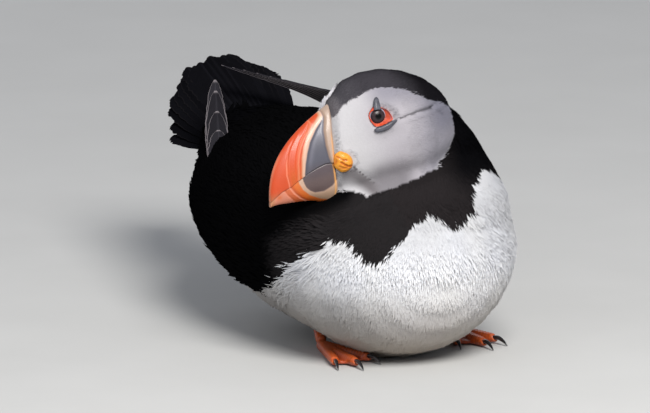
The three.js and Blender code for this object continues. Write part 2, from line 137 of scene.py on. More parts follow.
def far_from(p, path):
    """Distance of 2-D points from a path of 2-D points."""
    path = np.asarray(path, float)
    best = np.full(len(p), 1e9)
    for a, b in zip(path[:-1], path[1:]):
        ab = b - a
        t = np.clip((p - a) @ ab / (ab @ ab), 0, 1)
        best = np.minimum(best, np.linalg.norm(p - a - t[:, None] * ab, axis=1))
    return best


# ---- the head's frame: +X along the bill, +Y to its left, the eyes' middle at the origin ----
HEAD_PLACE = np.array([-14.4, -2.1, 102.0])
HEAD_TURN, HEAD_DIP, HEAD_LEAN = 86.5, 9.4, 6


def turned(axis, degrees):
    return np.array(Matrix.Rotation(math.radians(degrees), 3, axis))


HEAD = turned("Z", -90 - HEAD_TURN) @ turned("Y", HEAD_DIP) @ turned("X", HEAD_LEAN)


def to_head(p):
    return (np.asarray(p) - HEAD_PLACE) @ HEAD


def from_head(h):
    return np.asarray(h) @ HEAD.T + HEAD_PLACE


# ---- meshes ----
def placed(name, data):
    """An object of the scene from a mesh, a lamp or a camera."""
    made = bpy.data.objects.new(name, data)
    bpy.context.scene.collection.objects.link(made)
    return made


def make_object(name, verts, faces, material, colours=None, uv=None, extra=None, smooth=True, normals=None):
    """A mesh object from arrays in millimetres. faces is a list of index arrays, one for each kind of
    polygon. colours, extra and normals are given for each vertex, as is uv, which fills OFBake."""
    mesh = bpy.data.meshes.new(name)
    mesh.vertices.add(len(verts))
    mesh.vertices.foreach_set("co", (np.asarray(verts) * MM).astype(np.float32).ravel())
    loops = np.concatenate([f.ravel() for f in faces]).astype(np.int32)
    sizes = np.concatenate([np.full(len(f), f.shape[1]) for f in faces]).astype(np.int32)
    mesh.loops.add(len(loops))
    mesh.loops.foreach_set("vertex_index", loops)
    mesh.polygons.add(len(sizes))
    mesh.polygons.foreach_set("loop_start", (np.cumsum(sizes) - sizes).astype(np.int32))
    mesh.polygons.foreach_set("use_smooth", np.full(len(sizes), smooth))
    if colours is not None:
        paint = mesh.color_attributes.new("tint", "FLOAT_COLOR", "POINT")
        alpha = np.ones((len(verts), 1))
        paint.data.foreach_set("color", np.hstack([colours, alpha]).astype(np.float32).ravel())
    if extra is not None:
        lay = mesh.attributes.new("lay", "FLOAT_VECTOR", "POINT")
        lay.data.foreach_set("vector", extra.astype(np.float32).ravel())
    if uv is not None:
        layer = mesh.uv_layers.new(name="OFBake")
        layer.data.foreach_set("uv", uv[loops].astype(np.float32).ravel())
    mesh.update(calc_edges=True)
    mesh.validate()
    if normals is not None:
        mesh.normals_split_custom_set_from_vertices(normals.astype(np.float32))
    made = placed(name, mesh)
    mesh.materials.append(material)
    return made


def finish_piece(made, slot, *replaced):
    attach(made, "root")
    if replaced:
        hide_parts(*replaced)


def grid_faces(rows, columns, closed=False):
    """Quads of a grid of points, row by row. closed joins the last column to the first."""
    r, c = np.meshgrid(np.arange(rows - 1), np.arange(columns - (not closed)), indexing="ij")
    r, c = r.ravel(), c.ravel()
    d = (c + 1) % columns
    return np.stack([r * columns + c, r * columns + d, (r + 1) * columns + d, (r + 1) * columns + c], 1)


def cap_faces(ring, middle, step):
    """Triangles from a ring of vertex numbers to a middle vertex. step is 1 or -1, for the side they face."""
    pair = (ring, np.roll(ring, -1))[::step]
    return np.stack([*pair, np.full(len(ring), middle)], 1)


def tube(rings):
    """Vertices and faces of a closed skin through rings of points, shaped (rings, sides, 3)."""
    rows, sides, _ = rings.shape
    verts = np.concatenate([rings.reshape(-1, 3), rings[:1].mean(1), rings[-1:].mean(1)])
    first, last = np.arange(sides), (rows - 1) * sides + np.arange(sides)
    caps = [cap_faces(first, rows * sides, -1), cap_faces(last, rows * sides + 1, 1)]
    return verts, [grid_faces(rows, sides, True), np.concatenate(caps)]


def tube_tints(tints):
    """Colours for a tube's vertices, from those of its rings."""
    return np.concatenate([tints.reshape(-1, 3), tints[0, :1], tints[-1, :1]])


def turned_over(faces):
    return [f[:, ::-1] for f in faces]


# ---- materials ----
def new_material(name, roughness, specular=0.5):
    material = bpy.data.materials.new(name)
    material.use_nodes = True
    shader = material.node_tree.nodes["Principled BSDF"]
    shader.inputs["Roughness"].default_value = roughness
    shader.inputs["Specular IOR Level"].default_value = specular
    return material, material.node_tree, shader


def add_node(tree, kind, **inputs):
    node = tree.nodes.new(kind)
    for name, value in inputs.items():
        node.inputs[name.replace("_", " ")].default_value = value
    return node


def noise_of(tree, size_mm, detail=3.0, stretch=None, source=None):
    """A noise whose grain is about size_mm, in the object's own coordinates or another vector's."""
    place = source or tree.nodes.new("ShaderNodeTexCoord").outputs["Object"]
    if stretch:
        scaled = tree.nodes.new("ShaderNodeVectorMath")
        scaled.operation = "MULTIPLY"
        scaled.inputs[1].default_value = stretch
        tree.links.new(place, scaled.inputs[0])
        place = scaled.outputs["Vector"]
    noise = add_node(tree, "ShaderNodeTexNoise", Scale=1 / (size_mm * (MM if not source else 1)))
    noise.inputs["Detail"].default_value = detail
    tree.links.new(place, noise.inputs["Vector"])
    return noise.outputs["Fac"]


def varied(tree, colour, amount, factor):
    """colour, made lighter and darker by amount as factor goes over and under a half."""
    spread = add_node(tree, "ShaderNodeMapRange", To_Min=1 - amount, To_Max=1 + amount)
    tree.links.new(factor, spread.inputs["Value"])
    scaled = tree.nodes.new("ShaderNodeVectorMath")
    scaled.operation = "SCALE"
    tree.links.new(colour, scaled.inputs[0])
    tree.links.new(spread.outputs["Result"], scaled.inputs["Scale"])
    return scaled.outputs["Vector"]


def bumped(tree, shader, height, depth_mm):
    bump = add_node(tree, "ShaderNodeBump", Strength=1.0, Distance=depth_mm * MM)
    tree.links.new(height, bump.inputs["Height"])
    tree.links.new(bump.outputs["Normal"], shader.inputs["Normal"])


def tint_of(tree):
    paint = tree.nodes.new("ShaderNodeVertexColor")
    paint.layer_name = "tint"
    return paint.outputs["Color"]


def grained(name, roughness, specular, grain, detail, broad, amount, broad_amount, depth):
    """A material of the painted colour, uneven in a fine grain and a broad one, and the fine one's relief.
    The shader's sockets come with it."""
    material, tree, shader = new_material(name, roughness, specular)
    fine = noise_of(tree, grain, detail)
    colour = varied(tree, tint_of(tree), amount, fine)
    colour = varied(tree, colour, broad_amount, noise_of(tree, broad, 2.0))
    tree.links.new(colour, shader.inputs["Base Color"])
    bumped(tree, shader, fine, depth)
    return material, shader.inputs


def plumage(name, roughness, sheen=0.0, grain=0.9, depth=0.12, scatter=0.0, specular=0.15, mottle=0.1):
    """Soft feather: a fine uneven grain, and a velvety sheen."""
    material, sockets = grained(name, roughness, specular, grain, 3.0, 9.0, mottle, mottle / 2, depth)
    sockets["Sheen Weight"].default_value = sheen
    sockets["Sheen Roughness"].default_value = 0.4
    sockets["Sheen Tint"].default_value = (1, 1, 1, 1)
    if scatter:
        sockets["Subsurface Weight"].default_value = scatter
        sockets["Subsurface Radius"].default_value = (1.0, 0.9, 0.8)
        sockets["Subsurface Scale"].default_value = 1.5 * MM
    return material


def horny(name, roughness, grain, depth, amount, coat=0.5, specular=0.5):
    """Horn or bare skin: growth streaks and pores, and a gloss over them."""
    material, sockets = grained(name, roughness, specular, grain, 4.0, grain * 8, amount, amount, depth)
    sockets["Coat Weight"].default_value = coat
    sockets["Coat Roughness"].default_value = 0.12
    return material


def barbed(name, roughness):
    """A flight feather: fine barbs that slant from the shaft to the edge."""
    material, tree, shader = new_material(name, roughness, 0.0)
    lay = tree.nodes.new("ShaderNodeAttribute")
    lay.attribute_name = "lay"
    barbs = noise_of(tree, 1.0, 2.0, (0.35, 26.0, 1.0), lay.outputs["Vector"])
    colour = varied(tree, tint_of(tree), 0.35, barbs)
    tree.links.new(colour, shader.inputs["Base Color"])
    bumped(tree, shader, barbs, 0.12)
    return material


WHITE_FEATHER = plumage("white_feather", 0.85, 0.12, depth=0.06, scatter=0.2, mottle=0.03)
FACE_FEATHER = plumage("face_feather", 0.9, 0.15, grain=0.5, depth=0.06, scatter=0.1, mottle=0.06)
BODY_SKIN = plumage("body_skin", 0.9, depth=0.06, specular=0.0, mottle=0.05)
BLACK_FEATHER = plumage("black_feather", 0.55, specular=0.0)
FLIGHT_FEATHER = barbed("flight_feather", 0.5)
BILL_HORN = horny("bill_horn", 0.44, 0.5, 0.03, 0.07, coat=0.13)
EYE_HORN = horny("eye_horn", 0.5, 0.35, 0.04, 0.15, coat=0.1)
RIM_SKIN = horny("rim_skin", 0.45, 0.35, 0.12, 0.14, coat=0.3)
GAPE_SKIN = horny("gape_skin", 0.42, 0.5, 0.14, 0.1, coat=0.25)
LEG_SKIN = horny("leg_skin", 0.45, 0.7, 0.2, 0.16, coat=0.3)
CLAW_HORN = horny("claw_horn", 0.25, 0.4, 0.03, 0.25, coat=0.8)
EYE_GLASS = horny("eye_glass", 0.24, 0.25, 0.0, 0.12, coat=0.03, specular=0.22)

# ---- the skin: one closed surface through the solids of flesh, a coat's depth inside them ----
FLESH = ["trunk", "neck", "head", "wing_left", "wing_right"]
FILLED = [f"{part}_{side}" for side in ("left", "right")
          for part in ("eye", "eye_ring", "eye_horn_under", "gape_rosette")]
NECK_PART, HEAD_PART, FIRST_WING = 1, 2, 3  # places in FLESH
DEPTH = {"head": 0.4, "neck": 1.3, "trunk": 1.4, "wing_left": 1.1, "wing_right": 1.1}
VOXEL = 1.25
GROWTH = 0.3  # the solids are grown by this, which closes the cuts between them
SHOULDER_UP, SHOULDER_HIGH, SHOULDER_ROUNDS = 64, 13, 150  # where the neck flows into the breast
VENT_PRESS = 1.8  # further in under the tail
SKIN_LOWEST = 1.2


def arrays_of(mesh, sides):
    """Vertices in millimetres and faces of a mesh whose faces all have the same number of sides."""
    verts, faces = np.zeros(len(mesh.vertices) * 3), np.zeros(len(mesh.polygons) * sides, int)
    mesh.vertices.foreach_get("co", verts)
    mesh.polygons.foreach_get("vertices", faces)
    return verts.reshape(-1, 3) / MM, faces.reshape(-1, sides)


def node_arrays(name):
    return arrays_of(nodes[name].data, 3)


def welded(verts, faces):
    """The same surface with vertices that share a place made one."""
    _, first, same = np.unique(np.round(verts, 3), axis=0, return_index=True, return_inverse=True)
    faces = same.ravel()[faces]
    whole = (faces[:, 0] != faces[:, 1]) & (faces[:, 1] != faces[:, 2]) & (faces[:, 0] != faces[:, 2])
    return verts[first], faces[whole]


def grown(verts, faces, by):
    """The vertices moved outward by a length along their normals."""
    a, b, c = (verts[faces[:, i]] for i in range(3))
    flat = np.cross(b - a, c - a)
    normals = np.zeros_like(verts)
    for i in range(3):
        np.add.at(normals, faces[:, i], flat)
    return verts + unit(normals) * by


def remeshed(names, voxel, grow):
    """Vertices and quads of one closed surface round several solids."""
    verts, faces, start = [], [], 0
    for name in names:
        v, f = welded(*node_arrays(name))
        verts.append(grown(v, f, grow))
        faces.append(f + start)
        start += len(v)
    made = make_object("shell", np.concatenate(verts), [np.concatenate(faces)], WHITE_FEATHER)
    modifier = made.modifiers.new("voxels", "REMESH")
    modifier.mode = "VOXEL"
    modifier.voxel_size = voxel * MM
    graph = bpy.context.evaluated_depsgraph_get()
    mesh = bpy.data.meshes.new_from_object(made.evaluated_get(graph))
    bpy.data.objects.remove(made)
    return outermost(*arrays_of(mesh, 4))


def edges_of(faces):
    pairs = np.concatenate([faces[:, [i, (i + 1) % faces.shape[1]]] for i in range(faces.shape[1])])
    return np.unique(np.sort(pairs, axis=1), axis=0)


def outermost(verts, faces):
    """Only the largest joined part of a surface, without pockets inside it."""
    label = np.arange(len(verts))
    edges = edges_of(faces)
    while True:
        least = np.minimum(label[edges[:, 0]], label[edges[:, 1]])
        before = label.copy()
        np.minimum.at(label, edges[:, 0], least)
        np.minimum.at(label, edges[:, 1], least)
        label = label[label]
        if (label == before).all():
            break
    kept = label == np.bincount(label).argmax()
    number = np.cumsum(kept) - 1
    return verts[kept], number[faces[kept[faces].all(1)]]


def evened(values, edges, weight, rounds):
    """Values averaged with their neighbours', again and again, by weight at each vertex."""
    values = values.copy()
    count = np.bincount(edges.ravel(), minlength=len(values))
    weight = np.broadcast_to(weight, len(values))
    flat = values.reshape(len(values), -1)
    for _ in range(rounds):
        for k in range(flat.shape[1]):
            total = np.bincount(edges[:, 0], flat[edges[:, 1], k], len(values))
            total += np.bincount(edges[:, 1], flat[edges[:, 0], k], len(values))
            flat[:, k] += weight * (total / count - flat[:, k])
    return values


def vertex_normals(verts, faces):
    """Outward normals at the vertices of a closed surface of quads."""
    a, b, c, d = (verts[faces[:, i]] for i in range(4))
    flat = np.cross(c - a, d - b)
    normals = np.stack([np.bincount(faces.ravel(), np.repeat(flat[:, k], 4), len(verts))
                        for k in range(3)], 1)
    return unit(normals)


def nearest_node(points, names):
    """For each point, which of the named nodes' surfaces is nearest."""
    trees = [BVHTree.FromPolygons(*[a.tolist() for a in node_arrays(n)]) for n in names]
    far = np.array([[t.find_nearest(Vector(p))[3] for t in trees] for p in points])
    return far.argmin(1)


skin_v, skin_f = remeshed(FLESH + FILLED, VOXEL, GROWTH)
skin_edges = edges_of(skin_f)
part = nearest_node(skin_v, FLESH)
skull = part == HEAD_PART
softness = evened(1 - 0.72 * skull, skin_edges, 0.5, 6)
rough = skin_v
skin_v = evened(skin_v, skin_edges, 0.6 * softness, 26)
skin_n = vertex_normals(skin_v, skin_f)
shrunk = evened(((rough - skin_v) * skin_n).sum(1), skin_edges, 0.6, 14)
skin_v = skin_v + skin_n * shrunk[:, None]
shoulder = hump(skin_v[:, 2], SHOULDER_UP, SHOULDER_HIGH) * ease(skin_v[:, 1], 15, -5) * ~skull
skin_v = evened(skin_v, skin_edges, 0.6 * evened(shoulder, skin_edges, 0.5, 6), SHOULDER_ROUNDS)
depth = evened(np.array([DEPTH[n] for n in FLESH])[part], skin_edges, 0.5, 8)
skin_v = skin_v - vertex_normals(skin_v, skin_f) * (depth + GROWTH)[:, None]
skin_v = evened(skin_v, skin_edges, 0.5 * softness, 4)
vent = ease(skin_v[:, 1], 96, 130) * ease(skin_v[:, 2], 66, 54)
skin_v = skin_v - vertex_normals(skin_v, skin_f) * (VENT_PRESS * vent)[:, None]
skin_v[:, 2] = np.maximum(skin_v[:, 2], SKIN_LOWEST)

# ---- markings ----
# The black collar's lower edge, by the bearing round the neck in degrees: 0 is ahead, minus its right.
COLLAR_EDGE = line([
    (-180, 50), (-70, 50.2), (-64.5, 53.6), (-59.7, 57.4), (-55.7, 56), (-51.2, 55.1), (-48.2, 53.7),
    (-45.2, 51.6), (-41.2, 49.4), (-36.4, 48.5), (-30.7, 50.1), (-25, 53.4), (-20.3, 57.7), (-15.2, 61.1),
    (-7.8, 63.6), (-1.9, 66), (2.3, 63.8), (5.8, 61.9), (10.2, 60.6), (16.1, 60.3), (24, 62.1), (32, 64.4),
    (35.3, 68.3), (41.9, 70.7), (47.9, 73.1), (54.6, 75.7), (62, 76.3), (68, 76.7), (180, 76),
])
# The black side's lower edge, by Y, on the left and on the right.
FLANK_BEHIND = [(58, 22.5), (74, 27), (90, 33), (102, 37), (116, 41), (130, 45), (150, 50)]
FLANK_LEFT = line([(-60, 110), (-18, 79), (-14, 76.8), (-11, 75.9), (-6, 67), (2, 55), (8, 46), (20, 36),
                   (33, 29), (46, 24)] + FLANK_BEHIND)
FLANK_RIGHT = line([(-60, 90), (-25.7, 57.4), (-22.5, 53.6), (-18.1, 50.2), (-10.6, 45.4), (-2, 40.4),
                    (7.6, 35.6), (21, 29.3), (42, 21.5)] + FLANK_BEHIND)
# The pale face: its upper edge under the black cap and its lower one over the collar, along the head,
# and HEM, how far its long lower feathers hang over the neck.
CAP_EDGE = line([(-38, -6.5), (-30, -2.4), (-27.6, 0.4), (-20.7, 4.2), (-15.2, 8.9), (-7.5, 12), (-0.4, 13),
                 (9, 10.3), (11.6, 9.4), (16.9, 5.6), (19, 4.2)])
CHIN_EDGE = line([(-38, -8), (-33, -14), (-30.5, -19), (-26.4, -23.5), (-18.5, -29), (-9, -32),
                  (3.6, -33.4), (13.4, -33), (24, -33)])
HEM = line([(-34.4, -17), (-31.2, -24.5), (-16.8, -27), (-6.5, -28.5), (6.8, -29.8), (16.9, -30.6),
            (24, -28)])
FACE_BACK = -32  # how far back along the head the face goes
# The face's front edge, where the bill begins, by height.
FACE_EDGE = line([(20, 14.4), (9.6, 16.9), (-1.6, 20.3), (-13.8, 22.6), (-28, 22.8), (-40, 23)])
# The folds behind the eye and at the mouth's corner, along and up the head.
FURROW = [(-6.2, -1.9), (-9, -1.2), (-11.8, -0.9), (-16.6, -0.5), (-22.2, -0.5), (-26.4, 0.2)]
FURROW_FORK = [(-22.2, -0.5), (-25, -2.2), (-27, -4.6)]
CREASE = [(16.5, -15.5), (14.9, -16.6), (12.6, -19.2), (10, -22.4), (7.2, -25.4)]
CREASE_UP = line(CREASE + [(4, -27), (24, -14)])
# How high painted sunlight, a brown, reaches on the collar and side, by X; above it they are painted black as
# the bill's cast shadow.
SUNLIT_UP = line([(-54, 47), (-52.9, 51.5), (-49.9, 58.1), (-44.3, 63.3), (-36.4, 66.8), (-28.9, 69.9),
                (-22, 76), (-15, 90), (-12, 120)])
EYE_AT = np.array([1.37, 1.77])  # the eye's middle along and up the head
# The red ring's outer edge, by the bearing round the eye: 0 is towards the bill.
ring_edge = round_line([
    (-10, 3.4), (14, 3.4), (43, 3.3), (60, 3.35), (80, 3.75), (100, 4.1), (118, 4.3), (131, 3.9), (156, 4.6),
    (180, 5.2), (196, 5.8), (203, 6.3), (213, 5.6), (225, 4.7), (250, 4.0), (275, 4.0), (296, 4.35),
    (312, 3.85), (330, 3.5)])
BLACK = srgb(9, 9, 11)
COLLAR_BACK, RUMP_FROM = 22, 112  # Y where the collar ends, and where the rump begins
CHEEK_OUT = 6  # a point further out from the head's middle than this is on its side
FACE, CAP, COLLAR, WHITE, MANTLE, WING, RUMP = range(7)  # the coat's regions
wander = Waves(7.0, 1)
ripple = Waves(2.2, 2)
cloud = Waves(16.0, 3)


def flank_edge(p):
    return np.where(p[:, 0] < 0, FLANK_RIGHT(p[:, 1]), FLANK_LEFT(p[:, 1]))


def face_shade(h):
    """The pale face's colour at points in the head's frame: whiter ahead, lilac grey behind."""
    x, z = h[:, 0], h[:, 2]
    below = CREASE_UP(x) - z
    chin = ease(below, -0.4, 0.5) * ease(below, 11, 4) * ease(x, 4, 9)
    hem = ease(z, CHIN_EDGE(x) + 3.5, CHIN_EDGE(x) + 0.5)
    return 0.66 * layered(
        srgb(226, 224, 227),
        ((204, 199, 206), ease(x, 14, -6)),
        ((136, 135, 149), ease(x, -8, -27)),
        ((176, 173, 182), 0.7 * ease(z, -6, -15) * ease(x, -12, -20)),
        ((158, 156, 168), 0.85 * ease(z, 1, 10) * ease(x, 7, -5)),
        ((136, 132, 137), 0.85 * ease(z, -14, -24) * ease(x, 14, 4) * ease(x, -14, -4)),
        ((203, 200, 206), 0.5 * np.exp(-((x - EYE_AT[0] - 1) ** 2 + (z - EYE_AT[1]) ** 2) / 60)),
        ((118, 112, 115), 0.85 * chin * ease(x, 22.5, 19)),
        ((206, 205, 210), (0.55 - 0.35 * ease(x, 2, 9)) * hem))


def cap_shade(h):
    return layered(
        srgb(20, 19, 22),
        ((57, 55, 60), ease(h[:, 0], -24, -8)),
        ((72, 70, 75), ease(h[:, 0], 0, 12)),
        ((106, 102, 106), ease(h[:, 0], 11.5, 16.5)),
        ((30, 29, 32), 0.7 * ease(h[:, 1], 2, -7)))


def white_with_painted_shade(p):
    """The white plumage with painted shade: a warm grey below, and darker up the breast and under its sides.
    """
    white = mix(srgb(245, 245, 246), srgb(236, 237, 242), np.clip(0.5 + 0.5 * cloud(p), 0, 1))
    # Painted shade: a warm grey towards the bottom, then darker up the breast.
    white = layered(white, ((172, 156, 136), ease(p[:, 2], 46, -4) * 0.9))
    white *= (1 - 0.34 * ease(p[:, 2], 36, 60))[:, None]
    # Painted shade: darker low on the right side, lower down and on the left side.
    left_under = ease(p[:, 0], -8, -42) * ease(p[:, 2], 46, 22)
    white *= (1 - 0.16 * ease(p[:, 2], 42, 4) - 0.15 * ease(p[:, 0], 12, 50)
              - 0.32 * left_under)[:, None]
    return white


def fold_depth_and_shade(h):
    """How dark the painted shade in the face's folds is at points in the head's frame, from 0 to 1; the skin
    is also pressed in by it.
    """
    flat = h[:, [0, 2]]
    width = 0.42 + 0.35 * ease(h[:, 0], -6, -20)
    furrow = hump(far_from(flat, FURROW), 0, width)
    fork = 0.35 * hump(far_from(flat, FURROW_FORK), 0, 0.7)
    crease = 0.8 * hump(far_from(flat, CREASE), 0, 0.5)
    return np.clip(0.85 * furrow * ease(h[:, 0], -28, -22) + fork + crease, 0, 1)


def marking(p, kind, ragged=1.0):
    """Region number and colour of points on the body. kind says which node of flesh each lies on."""
    h = to_head(p)
    stray = ragged * (1.1 * wander(p) + 0.8 * ripple(p))
    bearing = bearing_of(p)
    ahead = ease(np.abs(bearing), 78, 62)
    edge = np.where(ahead > 0.5, COLLAR_EDGE(bearing), flank_edge(p))
    dark = p[:, 2] + 1.4 * stray > edge
    winged = kind >= FIRST_WING
    region = np.where(dark, MANTLE, WHITE)
    region = np.where(dark & winged, WING, region)
    region = np.where(dark & (p[:, 1] > RUMP_FROM), RUMP, region)
    by_neck = (kind == NECK_PART) | ((np.abs(bearing) < 70) & (p[:, 1] < 0))
    region = np.where(dark & ~winged & by_neck & (p[:, 1] < COLLAR_BACK), COLLAR, region)
    small = 0.15 * stray
    brow = 5.5 * ease(h[:, 0], 2, 9) * ease(h[:, 1], -0.5, -2.5)
    over_chin = h[:, 2] > CHIN_EDGE(h[:, 0]) + small
    pale = over_chin & (h[:, 2] < CAP_EDGE(h[:, 0]) + brow + small) & (h[:, 0] > FACE_BACK)
    head_region = np.where(pale, FACE, np.where(over_chin, CAP, COLLAR))
    region = np.where(kind == HEAD_PART, head_region, region)
    hanging = (kind == NECK_PART) & (h[:, 2] > HEM(h[:, 0]) + small) & (h[:, 1] > 3)
    region = np.where(hanging & (h[:, 0] > -22), FACE, region)

    brown = mix(srgb(37, 34, 35), srgb(10, 10, 12), ease(p[:, 0], 8, 26) * ease(p[:, 2], 66, 80))
    # Painted light and shadow: brown where sun falls on the collar, mantle and wings at the front, black in
    # the bill's cast shadow above that line.
    sunlit_and_shadowed = ease(p[:, 2] - SUNLIT_UP(p[:, 0]), 2.5, -2.5) * ease(p[:, 1], 16, 2)
    sunlit_and_shadowed = mix(srgb(9, 9, 10), srgb(36, 34, 35), sunlit_and_shadowed)
    colour = np.zeros((len(p), 3)) + BLACK
    for where, painted in (
            (region == WHITE, white_with_painted_shade(p)), (region == COLLAR, brown), (region == FACE, face_shade(h)),
            (region == CAP, cap_shade(h)), ((region == COLLAR) & (p[:, 0] < -12), sunlit_and_shadowed),
            ((region == MANTLE) | (region == WING), sunlit_and_shadowed)):
        colour = np.where(where[:, None], painted, colour)
    return region, colour


ROSETTE_AT = np.array([19.2, -13.3])

# The folds, and hollows for the eye's ring and the rosette, are pressed into the skin before it is covered.
skin_h = to_head(skin_v)
aside = np.abs(skin_h[:, 1])
pressed = fold_depth_and_shade(skin_h) * skull * (aside > CHEEK_OUT)
skin_n = vertex_normals(skin_v, skin_f)
whole_tree = BVHTree.FromPolygons(skin_v.tolist(), skin_f.tolist())
off_eye = skin_h[:, [0, 2]] - EYE_AT
inside_ring = ring_edge(np.degrees(np.arctan2(off_eye[:, 1], off_eye[:, 0]))) - np.hypot(*off_eye.T)
socket = ease(inside_ring, -0.5, 0.7) * skull * (aside > CHEEK_OUT)
off_gape = np.hypot(*(skin_h[:, [0, 2]] - ROSETTE_AT).T)
hollow = ease(off_gape, 4.4, 3.0) * skull * (aside > 5)
skin_v = skin_v - skin_n * (0.7 * pressed + 2.6 * socket + 2.0 * hollow)[:, None]
skin_n = vertex_normals(skin_v, skin_f)
skin_region, skin_colour = marking(skin_v, part, 0.5)
pale_skin = np.isin(skin_region, [WHITE, FACE])
skin_colour = skin_colour * np.where(pale_skin, 0.92, 0.75)[:, None]
skin = make_object("body_skin", skin_v, [skin_f], BODY_SKIN, skin_colour)
finish_piece(skin, "plumage_white", *FLESH)


def skin_out(along, up, side):
    """How far out the skin lies on one side of the head, at places along and up it."""
    found = []
    start = from_head(np.stack([along, np.full(len(along), side * 40.0), up], 1))
    aim = Vector(HEAD @ np.array([0, -side, 0.0]))
    for p in start:
        hit = whole_tree.ray_cast(Vector(p), aim)[0]
        found.append(abs(to_head(np.array(hit))[1]) if hit else 14.0)
    return np.array(found)


# ---- the lie of the plumage ----
def lie(p, n, kind):
    """Which way feathers point on the skin, along it."""
    h = to_head(p)
    aside = ease(np.abs(bearing_of(p)), 48, 80)
    flow = np.tile([0.0, 0.0, -1.0], (len(p), 1))
    flow[:, 1] = 0.25 + 0.75 * np.maximum(ease(p[:, 1], -15, 50), aside)
    flow[:, 0] = 0.004 * p[:, 0] * ease(p[:, 1], 10, -20)
    flow[:, 2] += 1.1 * ease(p[:, 1], 30, 100) + 0.6 * aside * ease(p[:, 1], 60, 20)
    flow[kind == NECK_PART] = [0.0, 0.25, -1.0]
    flow[kind >= FIRST_WING] = [0.0, 1.0, 0.22]
    flow[(kind >= FIRST_WING) & (p[:, 1] < 10)] = [0.0, 1.0, -0.35]
    from_bill = unit(h - np.array([22.0, 0.0, -9.0]))
    head_flow = 0.5 * from_bill + 0.6 * np.array([-1.0, 0.0, -0.25])
    flow = np.where((kind == HEAD_PART)[:, None], head_flow @ HEAD.T, flow)
    flow = flow + 0.16 * np.stack([wander(p), wander(p + 50), wander(p - 50)], 1)
    flow -= n * (flow * n).sum(1, keepdims=True)
    return unit(flow)


def surface_map(p, kind):
    """A place on an unwrap of the skin: rolled off round the head's length, or round the body's."""
    h = to_head(p)
    round_head = np.arctan2(h[:, 1], h[:, 2] + 9) / (2 * math.pi) + 0.5
    along_head = (h[:, 0] + 40) / 70
    middle = np.interp(p[:, 1], [-50, 60, 150], [44, 50, 74])
    round_body = np.arctan2(p[:, 0], -(p[:, 2] - middle)) / (2 * math.pi) + 0.5
    along_body = np.arccos(np.clip(1 - (p[:, 1] + 52) / 104, -1, 1)) / math.pi
    u = np.where(kind == HEAD_PART, round_head, round_body)
    v = np.where(kind == HEAD_PART, 0.03 + 0.25 * np.clip(along_head, 0, 1), 0.32 + 0.65 * along_body)
    return np.stack([np.clip(u, 0.003, 0.997), v], 1)


def scatter(per_mm2, chosen):
    """Roots spread evenly over the chosen faces of the skin: places, normals and nearest vertices."""
    faces = skin_f[chosen]
    a, b, c, d = (skin_v[faces[:, i]] for i in range(4))
    area = np.linalg.norm(np.cross(c - a, d - b), axis=1) / 2
    count = np.floor(area * per_mm2 + rng.uniform(size=len(faces))).astype(int)
    pick = np.repeat(np.arange(len(faces)), count)
    s, t = rng.uniform(size=(2, len(pick), 1))
    weights = [(1 - s) * (1 - t), s * (1 - t), s * t, (1 - s) * t]
    place = sum(w * skin_v[faces[pick, i]] for i, w in enumerate(weights))
    normal = unit(sum(w * skin_n[faces[pick, i]] for i, w in enumerate(weights)))
    corner = np.concatenate(weights, 1).argmax(1)
    return place, normal, faces[pick, corner]


PATCH = 0.003  # across a tuft's patch on the OFBake map
LEAF = [(0, 0.5), (0.4, 1.0), (0.78, 0.7), (1, 0)]  # shares of a tuft's length and width, up to its tip
CURL = 0.55
TIP_LIGHT = 1.02
ROOT_DEEP = 0.25  # how far inside the skin a root lies
TUFT_LOWEST = 0.08
FEATHER = {FACE: (FACE_FEATHER, "plumage_face"), WHITE: (WHITE_FEATHER, "plumage_white")}


def make_tufts(name, region, root, normal, flow, uv, colour, length, width, lift,
               twist=0.12, uneven=0.05, shade=None, relief=1.0, spread=0.2, root_light=0.92):
    """Many leaf-like tufts as one mesh."""
    n = len(root)
    ahead = unit(flow + np.cross(normal, flow) * rng.normal(0, twist, n)[:, None])
    side = unit(np.cross(normal, ahead) + normal * rng.normal(0, 0.12, n)[:, None])
    bend = rng.normal(0, 0.08, n)[:, None]
    length = length[:, None] * rng.uniform(1 - spread, 1 + spread, (n, 1))
    width = width[:, None] * rng.uniform(0.8, 1.2, (n, 1))
    rise = np.broadcast_to(np.sin(np.radians(lift)), n)[:, None] * rng.uniform(0.7, 1.3, (n, 1))
    tone = rng.uniform(1 - uneven, 1 + uneven, (n, 1))
    points, tints, maps, facing = [], [], [], []
    for t, w in LEAF:
        middle = (root + ahead * length * t + side * length * bend * t * t
                  + normal * (length * rise * (t - CURL * t * t) - ROOT_DEEP))
        for x in (-1, 1) if w else (0,):
            points.append(middle + side * (width * w * x / 2))
            tints.append(colour * tone * (root_light + (TIP_LIGHT - root_light) * t))
            maps.append(uv + PATCH / 2 * np.array([x * w, 2 * t - 1]))
            facing.append(unit(normal + relief * (side * (0.28 * x) + ahead * (0.22 * t - 0.08))))
    rows = len(LEAF) - 1
    tip = 2 * rows
    offset = (np.arange(n) * len(points))[:, None, None]
    faces = [(grid_faces(rows, 2)[:, ::-1] + offset).reshape(-1, 4),
             (np.array([[tip - 1, tip - 2, tip]]) + offset).reshape(-1, 3)]
    verts = np.stack(points, 1).reshape(-1, 3)
    verts[:, 2] = np.maximum(verts[:, 2], TUFT_LOWEST)
    tints = np.stack(tints, 1).reshape(-1, 3)
    if shade:
        tints = shade(verts, tints)
    material, slot = FEATHER.get(region, (BLACK_FEATHER, "plumage_black"))
    made = make_object(name, verts, faces, material, np.clip(tints, 0, 1),
                       np.stack(maps, 1).reshape(-1, 2), normals=np.stack(facing, 1).reshape(-1, 3))
    finish_piece(made, slot)


